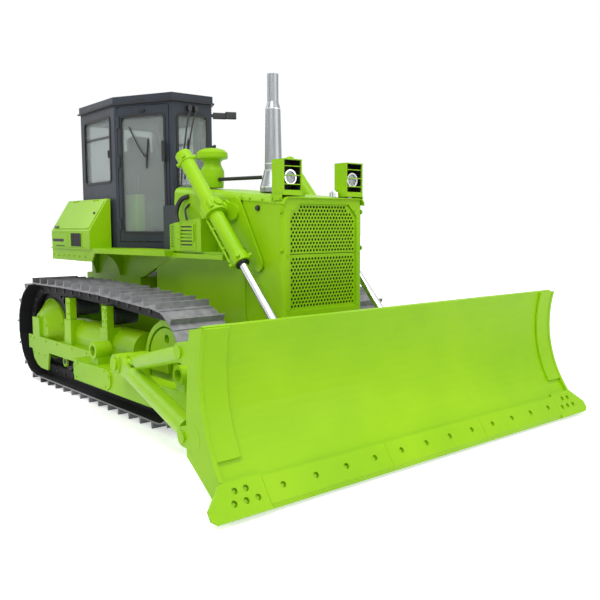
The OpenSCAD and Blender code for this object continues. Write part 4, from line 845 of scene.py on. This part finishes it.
class DOZER_OT_blade_trim(bpy.types.Operator):
    """Bolts of the cutting edge and end bits, and the liner strips at the ends of the face"""
    bl_idname = "dozer.blade_trim"
    bl_label = "Blade trim"

    def execute(self, context):
        r = choices().bolt_r * MM
        lean = math.radians(EDGE_LEAN)
        out = Vector((math.sin(lean), 0, math.cos(lean)))
        bolts = Piece("edge_bolts", "lime", BLADE)
        places = [(118, (i - 5.5) * 261.7) for i in range(12)]
        end_bit = ((158, 1700), (158, 1780), (88, 1640), (88, 1725), (88, 1810))
        places += [(up, sign * y) for sign in (-1, 1) for up, y in end_bit]
        for up, y in places:
            foot = Vector((EDGE_TIP_X - up * math.cos(lean), y, EDGE_TIP_Z + up * math.sin(lean)))
            bolts.cone(foot, foot + out * 9, r * 0.82, r * 0.7, 18)
        bolts.make()
        # The liners follow the curve of the face, felt by rays from the front near its middle
        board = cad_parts["moldboard"]
        place = board.matrix_world
        back = place.inverted()
        curve = []
        for z in range(305, 1090, 15):
            hit = board.ray_cast(back @ Vector((4, 0.0005, z / MM)), back.to_3x3() @ Vector((-1, 0, 0)))
            point, normal = place @ hit[1], place.to_3x3() @ hit[2]
            curve.append((Vector((point.x * MM + MID_X, z)), Vector((normal.x, normal.z))))
        liners = Piece("face_liners", "lime", BLADE)
        outline = [tuple(p + 19 * n) for p, n in curve] + [tuple(p - 2 * n) for p, n in reversed(curve)]
        for sign in (-1, 1):
            liners.prism(outline, 1655, 1829, side_plane(sign, 0))
        liners.make(bevel=0.004)
        return {"FINISHED"}


# Stage

# Name, place and size in metres, and power in watts
LIGHTS = (
    ("key", (4.0, -6.5, 8.5), 5.0, 480),
    ("fill", (9, 2.5, 5), 7.0, 250),
    ("top", (3.0, -0.5, 12), 6.0, 520),
    ("rim", (-8, -4, 7), 5.0, 160),
)
LIGHT_AIM = (0, 0, 1.2)
# Solved from the photograph: place in the part's millimetres, then yaw, pitch and roll in degrees
CAMERA_PLACE = (6689.1, -4151.9, 1674.8)
CAMERA_TURN = (139.9206, 5.7017, -0.2613)
CAMERA_LENS = 44.669


def background_rays(owner):
    """1 for the rays that show the background: from the camera, through glass and off a gloss."""
    path = node(owner, "ShaderNodeLightPath", {})
    seen = path["Is Camera Ray"]
    for kind in ("Is Transmission Ray", "Is Glossy Ray"):
        seen = node(owner, "ShaderNodeMath", {0: seen, 1: path[kind]}, operation="MAXIMUM")["Value"]
    return seen


class DOZER_OT_stage(bpy.types.Operator):
    """Pale floor, soft light and the photograph's camera"""
    bl_idname = "dozer.stage"
    bl_label = "Stage and camera"

    def execute(self, context):
        scene = context.scene
        floor_mat, place = blank("matt_white_floor")
        # The far floor glows more, so that it meets the white world without a line
        away = node(floor_mat, "ShaderNodeVectorMath", {0: place}, operation="LENGTH")["Value"]
        fade = {"Value": away, "From Min": 3.5, "From Max": 14.0, "To Min": 0.5, "To Max": 0.95}
        bright = node(floor_mat, "ShaderNodeMapRange", fade)["Result"]
        shown = {"Value": background_rays(floor_mat), "To Min": 0.1, "To Max": bright}
        surface(floor_mat, {"Base Color": (0.93, 0.93, 0.93, 1), "Roughness": 0.9, "Specular IOR Level": 0.1,
                            "Emission Color": (1, 1, 1, 1),
                            "Emission Strength": node(floor_mat, "ShaderNodeMapRange", shown)["Result"]})
        bpy.ops.mesh.primitive_plane_add(size=160, location=(0, 0, -0.002))
        floor = context.object
        floor.name = "studio_floor"
        floor.data.materials.append(floor_mat)

        world = scene.world or bpy.data.worlds.new("studio")
        scene.world = world
        world.use_nodes = True
        glow = {"Value": background_rays(world), "To Min": 0.42, "To Max": 1.0}
        strength = node(world, "ShaderNodeMapRange", glow)["Result"]
        backdrop = world.node_tree.nodes["Background"]
        backdrop.inputs["Color"].default_value = (1, 1, 1, 1)
        world.node_tree.links.new(strength, backdrop.inputs["Strength"])

        for name, spot, size, power in LIGHTS:
            light = bpy.data.lights.new(name, "AREA")
            light.energy, light.size = power, size
            lamp = bpy.data.objects.new(name, light)
            lamp.location = spot
            lamp.rotation_euler = (Vector(LIGHT_AIM) - Vector(spot)).to_track_quat("-Z", "Y").to_euler()
            scene.collection.objects.link(lamp)

        camera = bpy.data.cameras.new("photo_camera")
        camera.sensor_width, camera.lens = 36, CAMERA_LENS
        eye = bpy.data.objects.new("photo_camera", camera)
        yaw, pitch, roll = (math.radians(angle) for angle in CAMERA_TURN)
        forward = Vector((math.cos(pitch) * math.cos(yaw), math.cos(pitch) * math.sin(yaw), -math.sin(pitch)))
        right = forward.cross(Vector((0, 0, 1))).normalized()
        up = right.cross(forward)
        tilted = math.cos(roll) * right + math.sin(roll) * up
        raised = -math.sin(roll) * right + math.cos(roll) * up
        eye.matrix_world = axes(tilted, raised, -forward, at(*CAMERA_PLACE))
        scene.collection.objects.link(eye)
        scene.camera = eye
        scene.view_settings.view_transform = "Standard"
        return {"FINISHED"}


class DOZER_PT_panel(bpy.types.Panel):
    """Steps of the dozer's looks"""
    bl_idname = "DOZER_PT_panel"
    bl_label = "Crawler dozer"
    bl_space_type = "VIEW_3D"
    bl_region_type = "UI"
    bl_category = "Dozer"

    def draw(self, context):
        for name in DozerLook.__annotations__:
            self.layout.prop(context.scene.dozer_look, name)
        for operator in OPERATORS:
            self.layout.operator(operator.bl_idname)


OPERATORS = (DOZER_OT_paint, DOZER_OT_cab_trim, DOZER_OT_hood_trim, DOZER_OT_hydraulics, DOZER_OT_track_trim,
             DOZER_OT_box_trim, DOZER_OT_rear_trim, DOZER_OT_blade_trim, DOZER_OT_stage)
CLASSES = (DozerLook, *OPERATORS, DOZER_PT_panel)


def register():
    for item in CLASSES:
        bpy.utils.register_class(item)
    bpy.types.Scene.dozer_look = bpy.props.PointerProperty(type=DozerLook)


def unregister():
    del bpy.types.Scene.dozer_look
    for item in reversed(CLASSES):
        bpy.utils.unregister_class(item)


def main():
    register()
    bpy.ops.dozer.paint()
    bpy.ops.dozer.cab_trim()
    bpy.ops.dozer.hood_trim()
    bpy.ops.dozer.hydraulics()
    bpy.ops.dozer.track_trim()
    bpy.ops.dozer.box_trim()
    bpy.ops.dozer.rear_trim()
    bpy.ops.dozer.blade_trim()
    bpy.ops.dozer.stage()


if __name__ == "__main__":
    main()
